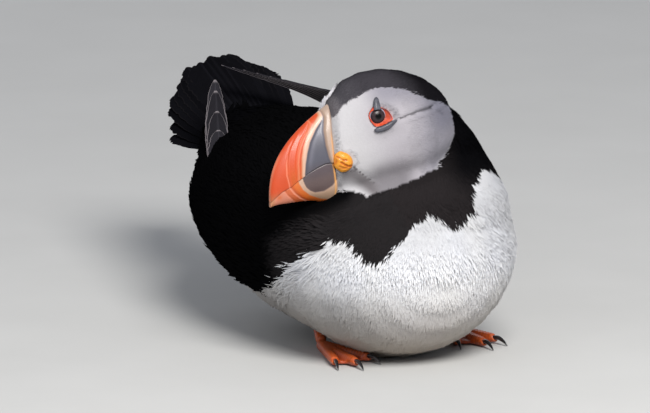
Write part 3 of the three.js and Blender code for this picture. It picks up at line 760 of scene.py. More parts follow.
face_part = part[skin_f[:, 0]]
face_place = skin_v[skin_f].mean(1)
face_region, _ = marking(face_place, face_part, 0)
face_head = to_head(face_place)
under_bill = (face_part == HEAD_PART) & (face_head[:, 0] > FACE_EDGE(face_head[:, 2]) + 0.9)

# Faces near any change of region may hold tufts of either.
changes = skin_region[skin_edges[:, 0]] != skin_region[skin_edges[:, 1]]
by_change = np.zeros(len(skin_v))
by_change[skin_edges[changes].ravel()] = 1
by_change = evened(by_change, skin_edges, 0.8, 16) > 0.01
edge_faces = by_change[skin_f].any(1)

LEG_CLEAR = 3.5  # no root is nearer than this to a leg or a foot
leg_trees = [BVHTree.FromPolygons(*[a.tolist() for a in node_arrays(f"{n}_{side}")])
             for n in ("leg", "foot") for side in ("left", "right")]
near_leg = np.zeros(len(skin_v), bool)
for i in np.flatnonzero(skin_v[:, 2] < 14):
    near_leg[i] = any(t.find_nearest(Vector(skin_v[i]), LEG_CLEAR)[0] is not None for t in leg_trees)

# The bare patches of the head's sides, along and up it: the two horns' lines, and ellipses in the eye's
# ring and the rosette as their middle and their half widths.
BAR = [(4.1, -3.5), (1.2, -3.45), (-1.2, -3.0), (-3.2, -2.25), (-5.4, -1.7)]
SPUR = [(0.7, 5.0), (0.1, 7.0), (-0.8, 8.7)]
BARE = [((1.0, 1.7), (4.0, 3.4)), ((19.0, -13.3), (3.7, 4.0))]


def is_bare(h):
    """Whether points of the head's frame are under a horn, the eye's ring or the rosette."""
    flat = h[:, [0, 2]]
    bare = (far_from(flat, BAR) < 1.0) | (far_from(flat, SPUR) < 1.15)
    for middle, half in BARE:
        bare |= (((flat - middle) / half) ** 2).sum(1) < 1
    return bare & (np.abs(h[:, 1]) > CHEEK_OUT)


SEEN = 0.75  # how far along a tuft is the point whose place gives its colour
BY_BILL = 2.2  # length of the dark tufts under the bill


def coat(name, region, per_mm2, length, width, lift, where=None, **more):
    """One coat piece: tufts over a region of the skin. width is a share of the length. length may be a
    function of places and places in the head's frame, and lift, in degrees, a function of places."""
    chosen = ~under_bill & ((face_region == region) | edge_faces)
    if where:
        chosen &= where(face_place)
    place, normal, corner = scatter(per_mm2, chosen)
    kind = part[corner]
    h = to_head(place)
    size = length(place, h) if callable(length) else np.full(len(place), length)
    by_bill = (h[:, 0] > 13) & (h[:, 2] > -35) & (h[:, 2] < -20) & (np.abs(h[:, 1]) < 12)
    size = np.where(by_bill & (region > CAP), BY_BILL, size)
    flow = lie(place, normal, kind)
    seen = SEEN + rng.uniform(-0.15, 0.15, len(place)) * (region > CAP)
    got, colour = marking(place + flow * (seen * size)[:, None], kind)
    past_edge = h[:, 0] > FACE_EDGE(h[:, 2]) + 0.6
    kept = (got == region) & ~near_leg[corner] & ~((kind == HEAD_PART) & (is_bare(h) | past_edge))
    place, normal, kind, colour, size, flow = (v[kept] for v in (place, normal, kind, colour, size, flow))
    lift = lift(place) if callable(lift) else lift
    make_tufts(name, region, place, normal, flow, surface_map(place, kind), colour,
               size, size * width, lift, **more)


def face_length(p, h):
    ahead = ease(h[:, 0], -14, 14)
    rim = ease(h[:, 2], CHIN_EDGE(h[:, 0]) + 5, CHIN_EDGE(h[:, 0]) + 1) * ease(h[:, 0], 20, 4)
    behind = ease(h[:, 0], -22, -29)
    near_eye = np.exp(-((h[:, 0] - EYE_AT[0]) ** 2 + (h[:, 2] - EYE_AT[1]) ** 2) / 30)
    return (2.9 - 1.2 * ahead + 1.1 * np.maximum(rim, behind)) * (1 - 0.4 * near_eye)


def with_fold_shade(verts, tints):
    """The face's tints, with painted shade in its folds."""
    h = to_head(verts)
    return mix(tints, tints * 0.28, fold_depth_and_shade(h) * (np.abs(h[:, 1]) > 5))


def over_fold(p):
    """How near points are to the top of the fold between neck and breast, on the left, from 0 to 1."""
    return hump(p[:, 2], 64, 5) * ease(p[:, 0], 5, 20) * ease(p[:, 1], 0, -15)


def full_side(p):
    """How near points are to the full lower edge of the folded right wing, from 0 to 1."""
    return np.exp(-(((p - [-55, 34, 34]) / [30, 24, 15]) ** 2).sum(1))


def by_flank(p):
    """Whether points are white but near the black side's lower edge."""
    beside = np.abs(bearing_of(p)) > np.where(p[:, 0] < 0, 62, 80)
    return (p[:, 2] > flank_edge(p) - 9) & beside & (p[:, 1] < 34)


def by_lore(p):
    """Whether points are beside the forehead, where the face's feathers stand fuller."""
    h = to_head(p)
    return (h[:, 0] > 8) & (h[:, 2] > 2) & (h[:, 1] < 0)


def lit_lore(verts, tints):
    """The pale edge that the far cheek shows over the forehead, brightened as a painted highlight."""
    h = to_head(verts)
    return mix(tints, tints * 1.9, ease(h[:, 2], 3, 8) * ease(h[:, 0], 7, 12))


FACE_LIE = dict(shade=with_fold_shade, uneven=0.02, relief=0.4)
BREAST_LIE = dict(uneven=0.005, relief=0.05, root_light=1.0)
BREAST_BACK = 8  # Y of the line where the breast's fine tufts give way to the belly's
coat("coat_face_left", FACE, 14.0, face_length, 0.14, 9, lambda p: to_head(p)[:, 1] > 0, **FACE_LIE)
coat("coat_face_right", FACE, 14.0, face_length, 0.14, 9, lambda p: to_head(p)[:, 1] <= 0, **FACE_LIE)
coat("coat_cap", CAP, 11.0, lambda p, h: 3.3 - 1.3 * ease(h[:, 0], -10, 14), 0.15, 13, relief=0.7)
coat("coat_collar", COLLAR, 7.0, lambda p, h: 4.8 - 0.6 * ease(p[:, 2], 60, 85), 0.11, 13, spread=0.35)
coat("coat_breast_right", WHITE, 4.8, 8.0, 0.09, 3.4,
     lambda p: (p[:, 1] < BREAST_BACK) & (p[:, 0] < 0), **BREAST_LIE)
coat("coat_breast_left", WHITE, 4.8, lambda p, h: 8 + over_fold(p), 0.09, lambda p: 3.4 + 4 * over_fold(p),
     lambda p: (p[:, 1] < BREAST_BACK) & (p[:, 0] >= 0), **BREAST_LIE)
coat("coat_belly", WHITE, 2.0, 10.5, 0.14, 7, lambda p: p[:, 1] >= BREAST_BACK,
     uneven=0.01, relief=0.12, root_light=0.99)
coat("coat_mantle", MANTLE, 1.5, 8.0, 0.2, 15)
coat("coat_wings", WING, 1.3, lambda p, h: 8 + 5 * full_side(p), 0.17, lambda p: 13 + 10 * full_side(p))
coat("coat_rump", RUMP, 1.6, lambda p, h: 9.5 - 3 * ease(p[:, 1], 136, 150), 0.18, 8)
coat("coat_flank", WHITE, 1.2, 8.5, 0.06, 19, by_flank, uneven=0.03, relief=0.4, twist=0.25, spread=0.35)
coat("coat_lore", FACE, 9.0, 3.6, 0.16, 30, by_lore, uneven=0.03, relief=0.4, shade=lit_lore)

# ---- bill ----
CULMEN = through([(12, 11.6), (17, 9.6), (22, 7.6), (28, 5), (34, 1.8), (39, -1.6), (44, -6.2), (48, -12),
                  (50.4, -18.4), (51.6, -24.4)])
JAW = through([(12, -31.4), (23, -30.8), (27, -29.6), (31, -27.8), (36, -26.6), (43, -25.6), (48, -25),
               (51.6, -25.2)])
HALF_THICK = through([(12, 9), (22, 7.9), (30, 6.6), (38, 5), (45, 3.3), (49, 2.1), (51.6, 0.9)])
MOUTH = line([(0, -12), (22.6, -13.2), (25.8, -12.8), (29.5, -13.5), (33.3, -14.7), (36.2, -15.9),
              (38.6, -17), (42.4, -18.9), (46.1, -19.9), (49.6, -21.9), (51.2, -23), (52, -23.4)])
BILL_POWER = 1.75
# Lines across the bill's side, from the mouth up to the culmen, each as how far ahead at a height.
RIDGE_END = line([(8.6, 20.3), (5.5, 20.6), (0.5, 22.9), (-5.4, 23.9), (-10.6, 23.9), (-13.1, 23.5)])
PLATE_END = line([(8.2, 20.5), (6.2, 20.8), (5.2, 21.4), (1.7, 25.9), (-2.5, 29.9), (-6.6, 32.4),
                  (-10.8, 34.3), (-14.8, 35.6)])
BAND_END = line([(7.6, 22), (6.7, 22.4), (3.6, 26.3), (0, 30.3), (-4, 33.3), (-8.2, 35.3), (-14.9, 37.1)])
GROOVE_1 = line([(4.4, 27.2), (1.6, 29.9), (-0.5, 32.3), (-3.2, 34.6), (-6.5, 36.4), (-10, 37.7),
                 (-16.4, 38.9)])
GROOVE_2 = line([(2.2, 33.4), (0.8, 34.6), (-2.8, 38.2), (-5.6, 40.1), (-9, 41.6), (-13.5, 42.7),
                 (-18.4, 42.6)])
# And across the lower half.
JAW_PLATE = line([(22, -20.3), (23, -21.3), (24.5, -22.7), (28, -24.1), (31.8, -23.8), (34, -22.4),
                  (35.6, -20.6), (36.4, -18.6), (36.9, -16)])
JAW_BAND = line([(-18.1, 38.6), (-21.2, 37.1), (-24.3, 34.1), (-27.2, 29.2), (-28.6, 25)])
JAW_LINE_1 = line([(-19.1, 42.3), (-21.8, 40.6), (-24.5, 37.9), (-26.5, 34.9), (-27.5, 33)])
JAW_LINE_2 = line([(-19.4, 45.1), (-22, 43.6), (-25, 40.9), (-26.5, 39)])


def upper_look(x, z):
    """Relief and colour of the upper half's side, at places along and up the head."""
    face, ridge, plate, band = FACE_EDGE(z), RIDGE_END(z), PLATE_END(z), BAND_END(z)
    first, second = GROOVE_1(z), GROOVE_2(z)
    relief = 0.75 * ease(x, face - 0.6, face + 0.4) * ease(x, ridge + 0.15, ridge - 0.9)
    relief -= 0.3 * ease(x, ridge - 0.1, ridge + 0.8) * ease(x, plate + 0.1, plate - 1.6)
    relief += 0.16 * hump(x, (plate + band) / 2, 0.9)
    relief += 0.2 * hump(x, first - 0.9, 0.6) - 0.34 * hump(x, first + 0.15, 0.42)
    relief += 0.12 * hump(x, second - 0.8, 0.6) - 0.24 * hump(x, second, 0.36) * ease(z, 2, -3)
    colour = layered(
        srgb(188, 66, 20),
        ((184, 82, 22), ease(z, -8, -18) * ease(x, 44, 40)),
        ((166, 96, 58), ease(z, -18.5, -23.5)),
        ((170, 112, 78), ease(z, -22.6, -24.2)),
        # A pale line along the ridge at the first groove: partly its own colour, partly a painted highlight.
        ((222, 140, 104), 0.6 * hump(x, first - 0.45, 0.35)),
        ((206, 84, 44), 0.45 * hump(x, first + 0.5, 0.5)),
        ((222, 134, 106), 0.75 * hump(x, second + 0.1, 0.3) * ease(z, -5, -10)),
        ((205, 88, 46), 0.3 * hump(x, second - 0.6, 0.5) * ease(z, -2, -8)),
        # A painted highlight: a pale rim along the culmen near the tip.
        ((216, 150, 116), 0.35 * ease(CULMEN(x) - z, 1.2, 0.1) * ease(x, 40, 46)))
    pale = mix(srgb(198, 160, 138), srgb(186, 122, 84), ease(x, band - 1.0, band))
    colour = mix(colour, pale, ease(x, band + 0.3, band - 0.3))
    # The slate plate with a painted highlight: a pale stripe near its front edge and lighter high up; darker
    # and browner low down, partly its own colour and partly painted shade.
    slate_and_gloss = layered(
        srgb(75, 75, 86),
        ((100, 99, 111), 0.6 * hump(x, plate - 2.2, 1.1)),
        ((108, 106, 117), 0.8 * ease(z, -6, 2) * ease(x, plate - 1, ridge + 1)),
        ((75, 70, 77), 0.7 * ease(z, -10, -14)))
    colour = mix(colour, slate_and_gloss, ease(x, plate + 0.28, plate - 0.28))
    cream = mix(srgb(164, 142, 127), srgb(150, 122, 102), ease(x, ridge - 0.9, ridge))
    colour = mix(colour, cream, ease(x, ridge + 0.22, ridge - 0.22))
    seam = hump(x, face + 0.2, 0.45) * ease(z, 2, -5)
    return relief, layered(colour, ((232, 162, 84), 0.6 * seam))


def lower_look(x, z):
    """Relief and colour of the lower half's side, in the same way."""
    band, first, second = JAW_BAND(z), JAW_LINE_1(z), JAW_LINE_2(z)
    inside = ease(z - JAW_PLATE(x), -0.35, 0.35) * ease(x, 37.0, 36.6)
    relief = -0.14 * inside - 0.26 * hump(x, first, 0.5) - 0.2 * hump(x, second, 0.45)
    orange = mix(srgb(206, 104, 40), srgb(194, 84, 28), ease(x, first - 2.4, first - 0.6))
    colour = layered(orange, ((212, 138, 112), 0.9 * hump(x, first + 0.35, 0.55)))
    ahead = mix(srgb(196, 96, 54), srgb(208, 130, 104), ease(x, second - 0.3, second + 0.6))
    colour = layered(
        mix(colour, ahead, ease(x, first + 0.9, first + 1.3)),
        ((196, 96, 44), 0.8 * np.exp(-(((x - 47.6) / 1.3) ** 2 + ((z + 21.9) / 1.1) ** 2))),
        ((184, 124, 88), ease(x, 48.8, 50.6)))
    # The cream band, darker towards its lower edge: painted shade.
    cream = mix(srgb(190, 158, 136), srgb(170, 140, 116), ease(z, -22, -27))
    colour = mix(colour, cream, ease(x, band + 0.35, band - 0.35))
    brown = mix(srgb(93, 77, 76), srgb(80, 69, 73), ease(z, -20, -15))
    colour = mix(colour, brown, inside)
    return relief, layered(colour, ((238, 170, 84), 0.8 * hump(x, FACE_EDGE(z) + 0.25, 0.32)))


BILL_STATIONS = np.concatenate([np.arange(13, 48, 0.28), np.linspace(48, 51.55, 34)])
BILL_HALF_RING = 60  # points from the mouth to the ridge
MOUTH_LINING = srgb(104, 62, 48)


def bill_half(name, upper, replaced):
    """One half of the bill, as rings across it from its base to its tip, closed along the mouth."""
    rings, tints = [], []
    for x in BILL_STATIONS:
        culmen, jaw, wide = CULMEN(x), JAW(x), HALF_THICK(x)
        if not upper:
            wide -= 1.6 * ease(x, 22.6, 21)
        middle = culmen + 0.6 * (jaw - culmen)
        mouth = MOUTH(x) + (0.03 if upper else -0.03)
        mouth = max(mouth, jaw + (0.3 if upper else 0.15))
        reach_up, reach_down = culmen - middle, middle - jaw
        share = (mouth - middle) / (reach_up if mouth > middle else reach_down)
        lip = math.asin(np.clip(abs(share), 0, 1) ** (BILL_POWER / 2)) * np.sign(share)
        angle = np.linspace(lip, math.pi / 2 if upper else -math.pi / 2, BILL_HALF_RING)
        rise = np.abs(np.sin(angle)) ** (2 / BILL_POWER) * np.sign(np.sin(angle))
        z = middle + rise * np.where(rise > 0, reach_up, reach_down)
        y = wide * np.cos(angle).clip(0) ** (2 / BILL_POWER)
        along = np.full(BILL_HALF_RING, x)
        relief, colour = (upper_look if upper else lower_look)(along, z)
        from_mouth = np.abs(z - mouth)
        pinch = (0.05 if upper else 0.02) * (1 - ease(from_mouth, 0, 0.4))
        y = y + (relief * ease(y, 0.2, 2.0) - pinch) * ease(y, 0, 1.0)
        side = np.stack([along, np.maximum(y, np.minimum(0.12, wide * 0.1)), z], 1)
        inner = np.array([[x, -side[0, 1] * 0.45, mouth], [x, side[0, 1] * 0.45, mouth]])
        rings.append(np.concatenate([side, side[::-1] * [1, -1, 1], inner]))
        # Painted shade: darker along the mouth's line.
        mouth_shade = mix(colour * 0.72, colour, ease(from_mouth, 0.05, 0.35))
        tints.append(np.concatenate([mouth_shade, mouth_shade[::-1], [MOUTH_LINING, MOUTH_LINING]]))
    verts, faces = tube(np.array(rings))
    if not upper:
        faces = turned_over(faces)
    made = make_object(name, from_head(verts), faces, BILL_HORN, tube_tints(np.array(tints)))
    finish_piece(made, "bill_horn", replaced)


bill_half("bill_upper_horn", True, "bill_upper")
bill_half("bill_lower_horn", False, "bill_lower")

# ---- eyes, their rings and horns, and the gape's rosettes ----
BALL_AT, BALL_RADIUS = np.array([0.2, 9.5, 1.2]), 5.3
BALL_AXIS = unit([0.22, 0.97, 0.1])
IRIS, PUPIL = 3.0, 1.2
lid_edge = round_line([
    (14, 3.15), (43, 3.0), (70, 2.85), (102, 3.0), (131, 3.5), (156, 4.25), (180, 4.8), (196, 5.05),
    (212, 4.9), (228, 4.2), (255, 3.4), (288, 3.25), (317, 3.22), (343, 3.2)])
pimples = Waves(0.7, 8)


def side_piece(name, side, verts, faces, material, tint, slot, replaced):
    """A piece on one side of the head, from its shape on the left."""
    made = make_object(name, from_head(verts * [1, side, 1]), faces, material, tint)
    finish_piece(made, slot, replaced)


def ball_out(x, z):
    left = BALL_RADIUS ** 2 - (x - BALL_AT[0]) ** 2 - (z - BALL_AT[2]) ** 2
    return BALL_AT[1] + np.sqrt(np.maximum(left, 0.5))


def eyeball(side, name):
    """A ball seen from its axis out, with a pupil, a streaked iris and a pale rim: partly the eye's pale
    corner, partly a painted reflection.
    """
    around = circle(56)
    tilt = np.radians(np.linspace(0.5, 78, 44))
    a = unit(np.cross(BALL_AXIS, [0, 0, 1]))
    b = np.cross(BALL_AXIS, a)
    spin = np.cos(around)[None, :, None] * a + np.sin(around)[None, :, None] * b
    out = np.cos(tilt)[:, None, None] * BALL_AXIS + np.sin(tilt)[:, None, None] * spin
    far = BALL_RADIUS * np.sin(tilt)
    bulge = 0.15 * ease(far, IRIS + 0.1, IRIS - 0.9) - 0.12 * ease(far, IRIS - 0.1, IRIS + 0.2)
    rings = BALL_AT + out * (BALL_RADIUS + bulge)[:, None, None]
    streak = 0.5 + 0.5 * np.sin(around * 23 + 2 * np.sin(around * 7))
    far = far[:, None] * np.ones(len(around))
    tint = layered(
        mix(srgb(46, 36, 39), srgb(58, 46, 49), streak)[None] * np.ones((len(tilt), 1, 1)),
        ((28, 25, 30), ease(far, IRIS - 0.7, IRIS - 0.1)),
        ((2, 2, 2), ease(far, PUPIL + 0.5, PUPIL - 0.3)),
        # The pale rim round the iris: partly the eye's corner, partly a painted reflection.
        ((146, 140, 154), ease(far, IRIS - 0.02, IRIS + 0.2)),
        ((60, 40, 42), ease(far, IRIS + 1.5, IRIS + 1.9)))
    verts, faces = tube(rings)
    side_piece(f"eye_glossy_{name}", side, verts, turned_over(faces) if side < 0 else faces, EYE_GLASS,
               tube_tints(tint), "eye", f"eye_{name}")


def out_from(middle, radius, around):
    """Places along and up the head, at a radius from a middle, by bearing in degrees."""
    turn = np.radians(around)
    return middle[0] + radius * np.cos(turn), middle[1] + radius * np.sin(turn)


def patch_on_face(name, side, middle, edge, rows, material, slot, replaced, paint):
    """A raised patch of bare skin on the face. rows gives rings from its middle to past its edge, each as
    [radius, how far out]. edge gives its outline by bearing, and paint its colour."""
    around = np.linspace(0, 360, 96, endpoint=False)
    far = edge(around)
    rim_out = skin_out(*out_from(middle, far, around), side)
    rings = []
    for radius, out in rows(around, far, rim_out):
        x, z = out_from(middle, radius, around)
        rings.append(np.stack([x, out, z], 1))
    verts, faces = tube(np.array(rings))
    side_piece(name, side, verts, turned_over(faces) if side > 0 else faces, material, paint(verts),
               slot, replaced)


def ring_rows(around, far, rim_out):
    lid_far = lid_edge(around)
    lid = ball_out(*out_from(EYE_AT, lid_far, around))
    grain = 0.06 * np.sin(around * 0.9) + 0.05 * np.sin(around * 0.37 + 1)
    yield lid_far - 0.1, lid - 1.2
    yield lid_far - 0.05, lid - 0.1
    yield lid_far + 0.02, lid + 0.2
    for t in np.linspace(0, 1, 9):
        radius = lid_far + 0.12 + t * np.maximum(far - lid_far - 0.12, 0.25)
        swell = 0.14 * math.sin(math.pi * min(t * 1.15, 1)) + 0.05 * math.cos(t * 9)
        yield radius, lid * (1 - t) + (rim_out + 0.4) * t + 0.1 + swell + grain * (t > 0.1)
    yield far + 0.1, rim_out - 0.5


def ring_paint(p):
    """Pimpled red, with a pale crescent of the eye's corner behind, and darker along the lid."""
    away_x, away_z = p[:, 0] - EYE_AT[0], p[:, 2] - EYE_AT[1]
    far = np.hypot(away_x, away_z)
    bearing = np.degrees(np.arctan2(away_z, away_x)) % 360
    inner, outer = lid_edge(bearing), ring_edge(bearing)
    share = (far - inner) / (outer - inner)
    return layered(
        srgb(188, 58, 32),
        ((214, 84, 44), ease(pimples(p), -0.6, 0.8)),
        ((140, 130, 142), ease(share, 0.78, 0.6) * ease(np.abs(bearing - 186), 56, 34)),
        ((112, 40, 32), ease(far, inner + 0.15, inner - 0.05)))


ROSETTE_EDGE = round_line([
    (0, 3.9), (20, 3.8), (55, 4.4), (83, 4.6), (108, 3.8), (140, 3.6), (171, 3.8), (212, 4.3), (240, 4.4),
    (272, 4.5), (290, 4.5), (307, 4.1), (335, 4.0)])
# The rosette's folds: each one's path along and up the head, and its depth.
FOLDS = [
    ([(21.6, -10.6), (20.6, -11.8), (19.6, -12.6), (18.6, -12.8)], 0.4),
    ([(20.8, -13.2), (19.4, -14.6), (18.2, -15.5), (16.2, -15.9)], 0.6),
    ([(21.5, -14.8), (20.2, -15.8), (18.6, -16.2)], 0.3),
    ([(23.0, -13.4), (22.3, -12.4), (22.4, -11.2)], 0.3),
]
folds_wander = Waves(1.4, 21)


def rosette_relief(x, z):
    flat = np.stack([x, z], 1)
    relief = 0.1 * folds_wander(np.stack([x, z, z * 0], 1))
    for path, deep in FOLDS:
        relief -= deep * hump(far_from(flat, path), 0, 0.42)
    return relief


def rosette_rows(around, far, _):
    for t in np.linspace(0.02, 1, 28):
        x, z = out_from(ROSETTE_AT, far * t, around)
        base = 9.9 + 0.25 * (ROSETTE_AT[0] - x)
        yield far * t, base + 2.0 * (1 - t ** 3.4) + rosette_relief(x, z) * ease(t, 1, 0.85)
    yield far * 0.9, 8.2 - 0.25 * far * np.cos(np.radians(around))


def rosette_paint(p):
    # Darker in the folds, lighter on the ridges between: painted shade.
    deep = ease(rosette_relief(p[:, 0], p[:, 2]), -0.5, 0.15)
    return mix(srgb(178, 92, 12), srgb(228, 150, 34), deep)


def horn(name, side, stations, replaced):
    """A small tapered horn through [x, z, half width, half height, height over the skin] stations."""
    x, z, wide, high, proud = (through([(i, s[k]) for i, s in enumerate(stations)]) for k in range(5))
    steps = np.linspace(0, len(stations) - 1, 30)
    out = skin_out(x(steps), z(steps), side)
    out = np.convolve(np.pad(out, 4, mode="edge"), np.ones(9) / 9, "valid")
    middle = np.stack([x(steps), out + proud(steps), z(steps)], 1)
    ahead = unit(np.gradient(middle, axis=0))
    upward = unit(np.array([0.0, 1.0, 0.0]) - ahead * ahead[:, 1:2])
    across = np.cross(ahead, upward)
    around = circle(20)
    ribs = 1 + 0.05 * np.cos(around * 6)
    rings = (middle[:, None]
             + across[:, None] * (wide(steps)[:, None] * np.cos(around) * ribs)[..., None]
             + upward[:, None] * (high(steps)[:, None] * np.sin(around) * ribs)[..., None])
    verts, faces = tube(rings)
    tone = ease(pimples(verts * 0.6), -0.8, 0.8)
    side_piece(name, side, verts, turned_over(faces) if side < 0 else faces, EYE_HORN,
               mix(SLATE * 0.75, SLATE * 1.15, tone), "eye_horn", replaced)


OVER = [(0.75, 4.3, 1.65, 0.8, 0.5), (0.5, 5.5, 1.6, 0.95, 0.7), (0.15, 6.8, 1.45, 0.9, 0.8),
        (-0.25, 7.8, 1.25, 0.75, 0.75), (-0.65, 8.6, 0.95, 0.55, 0.6), (-0.9, 9.15, 0.4, 0.25, 0.45)]
UNDER = [(4.3, -3.6, 0.4, 0.25, 0.4), (3.5, -3.65, 0.95, 0.6, 0.7), (1.2, -3.6, 1.15, 0.7, 0.8),
         (-1.2, -3.15, 1.2, 0.7, 0.8), (-3.2, -2.35, 0.95, 0.65, 0.75), (-4.8, -1.85, 0.6, 0.5, 0.6),
         (-5.8, -1.65, 0.25, 0.25, 0.4)]
SLATE = srgb(74, 75, 84)
for side, name in ((1, "left"), (-1, "right")):
    eyeball(side, name)
    patch_on_face(f"eye_rim_{name}", side, EYE_AT, ring_edge, ring_rows, RIM_SKIN, "eye_rim",
                  f"eye_ring_{name}", ring_paint)
    patch_on_face(f"rosette_{name}", side, ROSETTE_AT, ROSETTE_EDGE, rosette_rows, GAPE_SKIN, "gape_skin",
                  f"gape_rosette_{name}", rosette_paint)
    horn(f"horn_over_{name}", side, OVER, f"eye_horn_over_{name}")
    horn(f"horn_under_{name}", side, UNDER, f"eye_horn_under_{name}")

# ---- feet and claws ----
TOES = [(-18, 0.84), (0, 1.0), (14, 0.9)]  # each toe's bearing from the middle one and share of its length
TOE_LENGTH, CLAW_LENGTH, SCUTE = 36, 6.5, 1.7
# Each foot's side, its heel on the floor and how far it turns out, in degrees.
HEELS = {"left": (1, np.array([36.0, 26.0]), 3), "right": (-1, np.array([-26.0, 15.0]), 2)}


def toe_line(name, i):
    """Root, direction and length of one toe on the floor."""
    side, heel, turn = HEELS[name]
    fan, share = TOES[i]
    bearing = math.radians(fan + turn)
    return heel, np.array([side * math.sin(bearing), -math.cos(bearing)]), TOE_LENGTH * share


def foot(name):
    """The skin of a leg and its foot, with scutes along the toes and fine creases in the webs."""
    verts, faces = remeshed([f"leg_{name}", f"foot_{name}"], 0.5, 0.05)
    edges = edges_of(faces)
    verts = evened(verts, edges, 0.5, 5)
    normals = vertex_normals(verts, faces)
    over = ease(normals[:, 2], 0.1, 0.7)
    scutes, near = np.zeros(len(verts)), np.full(len(verts), 1e9)
    for i in range(len(TOES)):
        root, ahead, length = toe_line(name, i)
        along = (verts[:, :2] - root) @ ahead
        away_from = np.abs((verts[:, :2] - root) @ np.array([-ahead[1], ahead[0]]))
        closer = (away_from < near) & (along > -6) & (along < length + 3)
        near = np.where(closer, away_from, near)
        scutes = np.where(closer, np.abs(np.sin(along * math.pi / SCUTE)), scutes)
    on_toe = ease(near, 2.8, 1.6)
    creased = Waves(2.6, 31)(verts * [1.6, 0.7, 1]) * (1 - on_toe)
    verts = verts + normals * (0.24 * scutes * on_toe * over + 0.16 * creased)[:, None]
    verts[:, 2] = np.maximum(verts[:, 2], 0)
    toe = mix(srgb(170, 70, 26), srgb(204, 92, 36), scutes)
    web = mix(srgb(150, 56, 24), srgb(184, 76, 32), np.clip(0.5 + creased, 0, 1))
    # Darker on faces turned downwards: painted shade.
    colour = layered(mix(web, toe, on_toe), ((150, 60, 36), ease(normals[:, 2], 0.0, -0.6) * 0.6))
    made = make_object(f"foot_skin_{name}", verts, [faces], LEG_SKIN, colour)
    finish_piece(made, "leg_skin", f"leg_{name}", f"foot_{name}")
    for i in range(len(TOES)):
        claw(name, i)


def claw(name, i):
    root, ahead, length = toe_line(name, i)
    steps = np.linspace(0, 1, 16)
    far = length + CLAW_LENGTH * (-0.25 + 1.25 * steps)
    height = through([(0, 2.5), (0.36, 2.75), (0.7, 1.85), (1, 0.3)])(steps)
    thick = through([(0, 1.15), (0.36, 1.05), (0.7, 0.72), (0.92, 0.34), (1, 0.1)])(steps)[:, None]
    middle = np.concatenate([root + ahead * far[:, None], height[:, None]], 1)
    along = unit(np.gradient(middle, axis=0))
    across = np.tile([-ahead[1], ahead[0], 0.0], (len(steps), 1))
    upward = np.cross(across, along)
    upward *= np.sign(upward[:, 2:3])
    around = circle(14)
    flat = np.where(np.sin(around) < 0, 0.8, 1.0)
    rings = (middle[:, None] + across[:, None] * (thick * 0.8 * np.cos(around))[..., None]
             + upward[:, None] * (thick * np.sin(around) * flat)[..., None])
    verts, faces = tube(rings)
    verts[:, 2] = np.maximum(verts[:, 2], 0)
    paler = ease(steps, 0.9, 0.0)[:, None] * np.ones(len(around))
    tint = tube_tints(mix(srgb(18, 17, 19), srgb(44, 40, 42), 0.6 * paler))
    made = make_object(f"claw_horn_{name}_{i + 1}", verts, faces, CLAW_HORN, tint)
    finish_piece(made, "claw_horn", f"claw_{name}_{i + 1}")


for name in HEELS:
    foot(name)

# ---- flight feathers ----
FEATHER_GRID = 44, 17  # points along a feather and across it
# Shares of a feather's width, by the share of its length.
ROUND = through([(0, 0.3), (0.15, 0.62), (0.45, 0.95), (0.7, 1.0), (0.88, 0.86), (0.96, 0.56), (1, 0.12)])
POINTED = through([(0, 0.8), (0.2, 1.0), (0.5, 1.0), (0.75, 0.9), (0.9, 0.62), (0.97, 0.34), (1, 0.08)])


def feather(number, f, shape, rim, body):
    """One feather's grid of points, its tints, and its places for the barbs. f gives its line, the direction
    across it, its half width and cup, and may give how frayed it is and the leading vane's share."""
    draws = np.random.default_rng(100 + number)
    rows, columns = FEATHER_GRID
    steps = np.sin(np.linspace(0, math.pi / 2, rows))
    cross = np.sin(np.linspace(-math.pi / 2, math.pi / 2, columns))
    knots = np.asarray(f["line"], float)
    share = np.arange(len(knots)) / (len(knots) - 1)
    middle = np.stack([through(np.stack([share, knots[:, axis]], 1))(steps) for axis in range(3)], 1)
    ahead = unit(np.gradient(middle, axis=0))
    side = np.asarray(f["across"], float)
    side = unit(side - ahead * (ahead @ side)[:, None])
    face = np.cross(side, ahead)
    wide = f["half"] * shape(steps)
    frayed = 1 + f.get("fray", 0.035) * draws.normal(size=(rows, 2)) * ease(steps, 0.2, 1)[:, None]
    reach = np.where(cross[None] < 0, frayed[:, :1] * f.get("lead", 1.0), frayed[:, 1:])
    x = wide[:, None] * cross * reach
    back = 0.35 * np.abs(x) * ease(steps, 0.0, 0.4)[:, None]
    shaft = 0.28 * hump(cross, 0, 0.09)[None] * (1 - steps[:, None] * 0.7)
    rise = f["cup"] * (1 - cross ** 2)[None] * (wide / f["half"])[:, None] + shaft
    grid = (middle[:, None] + side[:, None] * x[..., None] + face[:, None] * rise[..., None]
            - ahead[:, None] * back[..., None] * 0.5)
    edge = np.maximum(ease(np.abs(cross), 0.92, 1.0)[None] * ease(steps, 0.3, 0.8)[:, None],
                      ease(steps, 0.981, 0.996)[:, None] * np.ones(columns))
    dark = srgb(*body) * draws.uniform(0.8, 1.2)
    colour = mix(np.tile(dark, (rows, columns, 1)), srgb(*rim), edge)
    colour = mix(colour, dark * 2, hump(cross, 0, 0.1)[None] * np.ones((rows, 1)) * 0.6)
    barb = np.stack([np.broadcast_to(cross[None] * 4, (rows, columns)),
                     (steps[:, None] + np.abs(cross)[None] * 0.12) * 4 + number,
                     np.zeros((rows, columns))], 2)
    return [array.reshape(-1, 3) for array in (grid, colour, barb)]


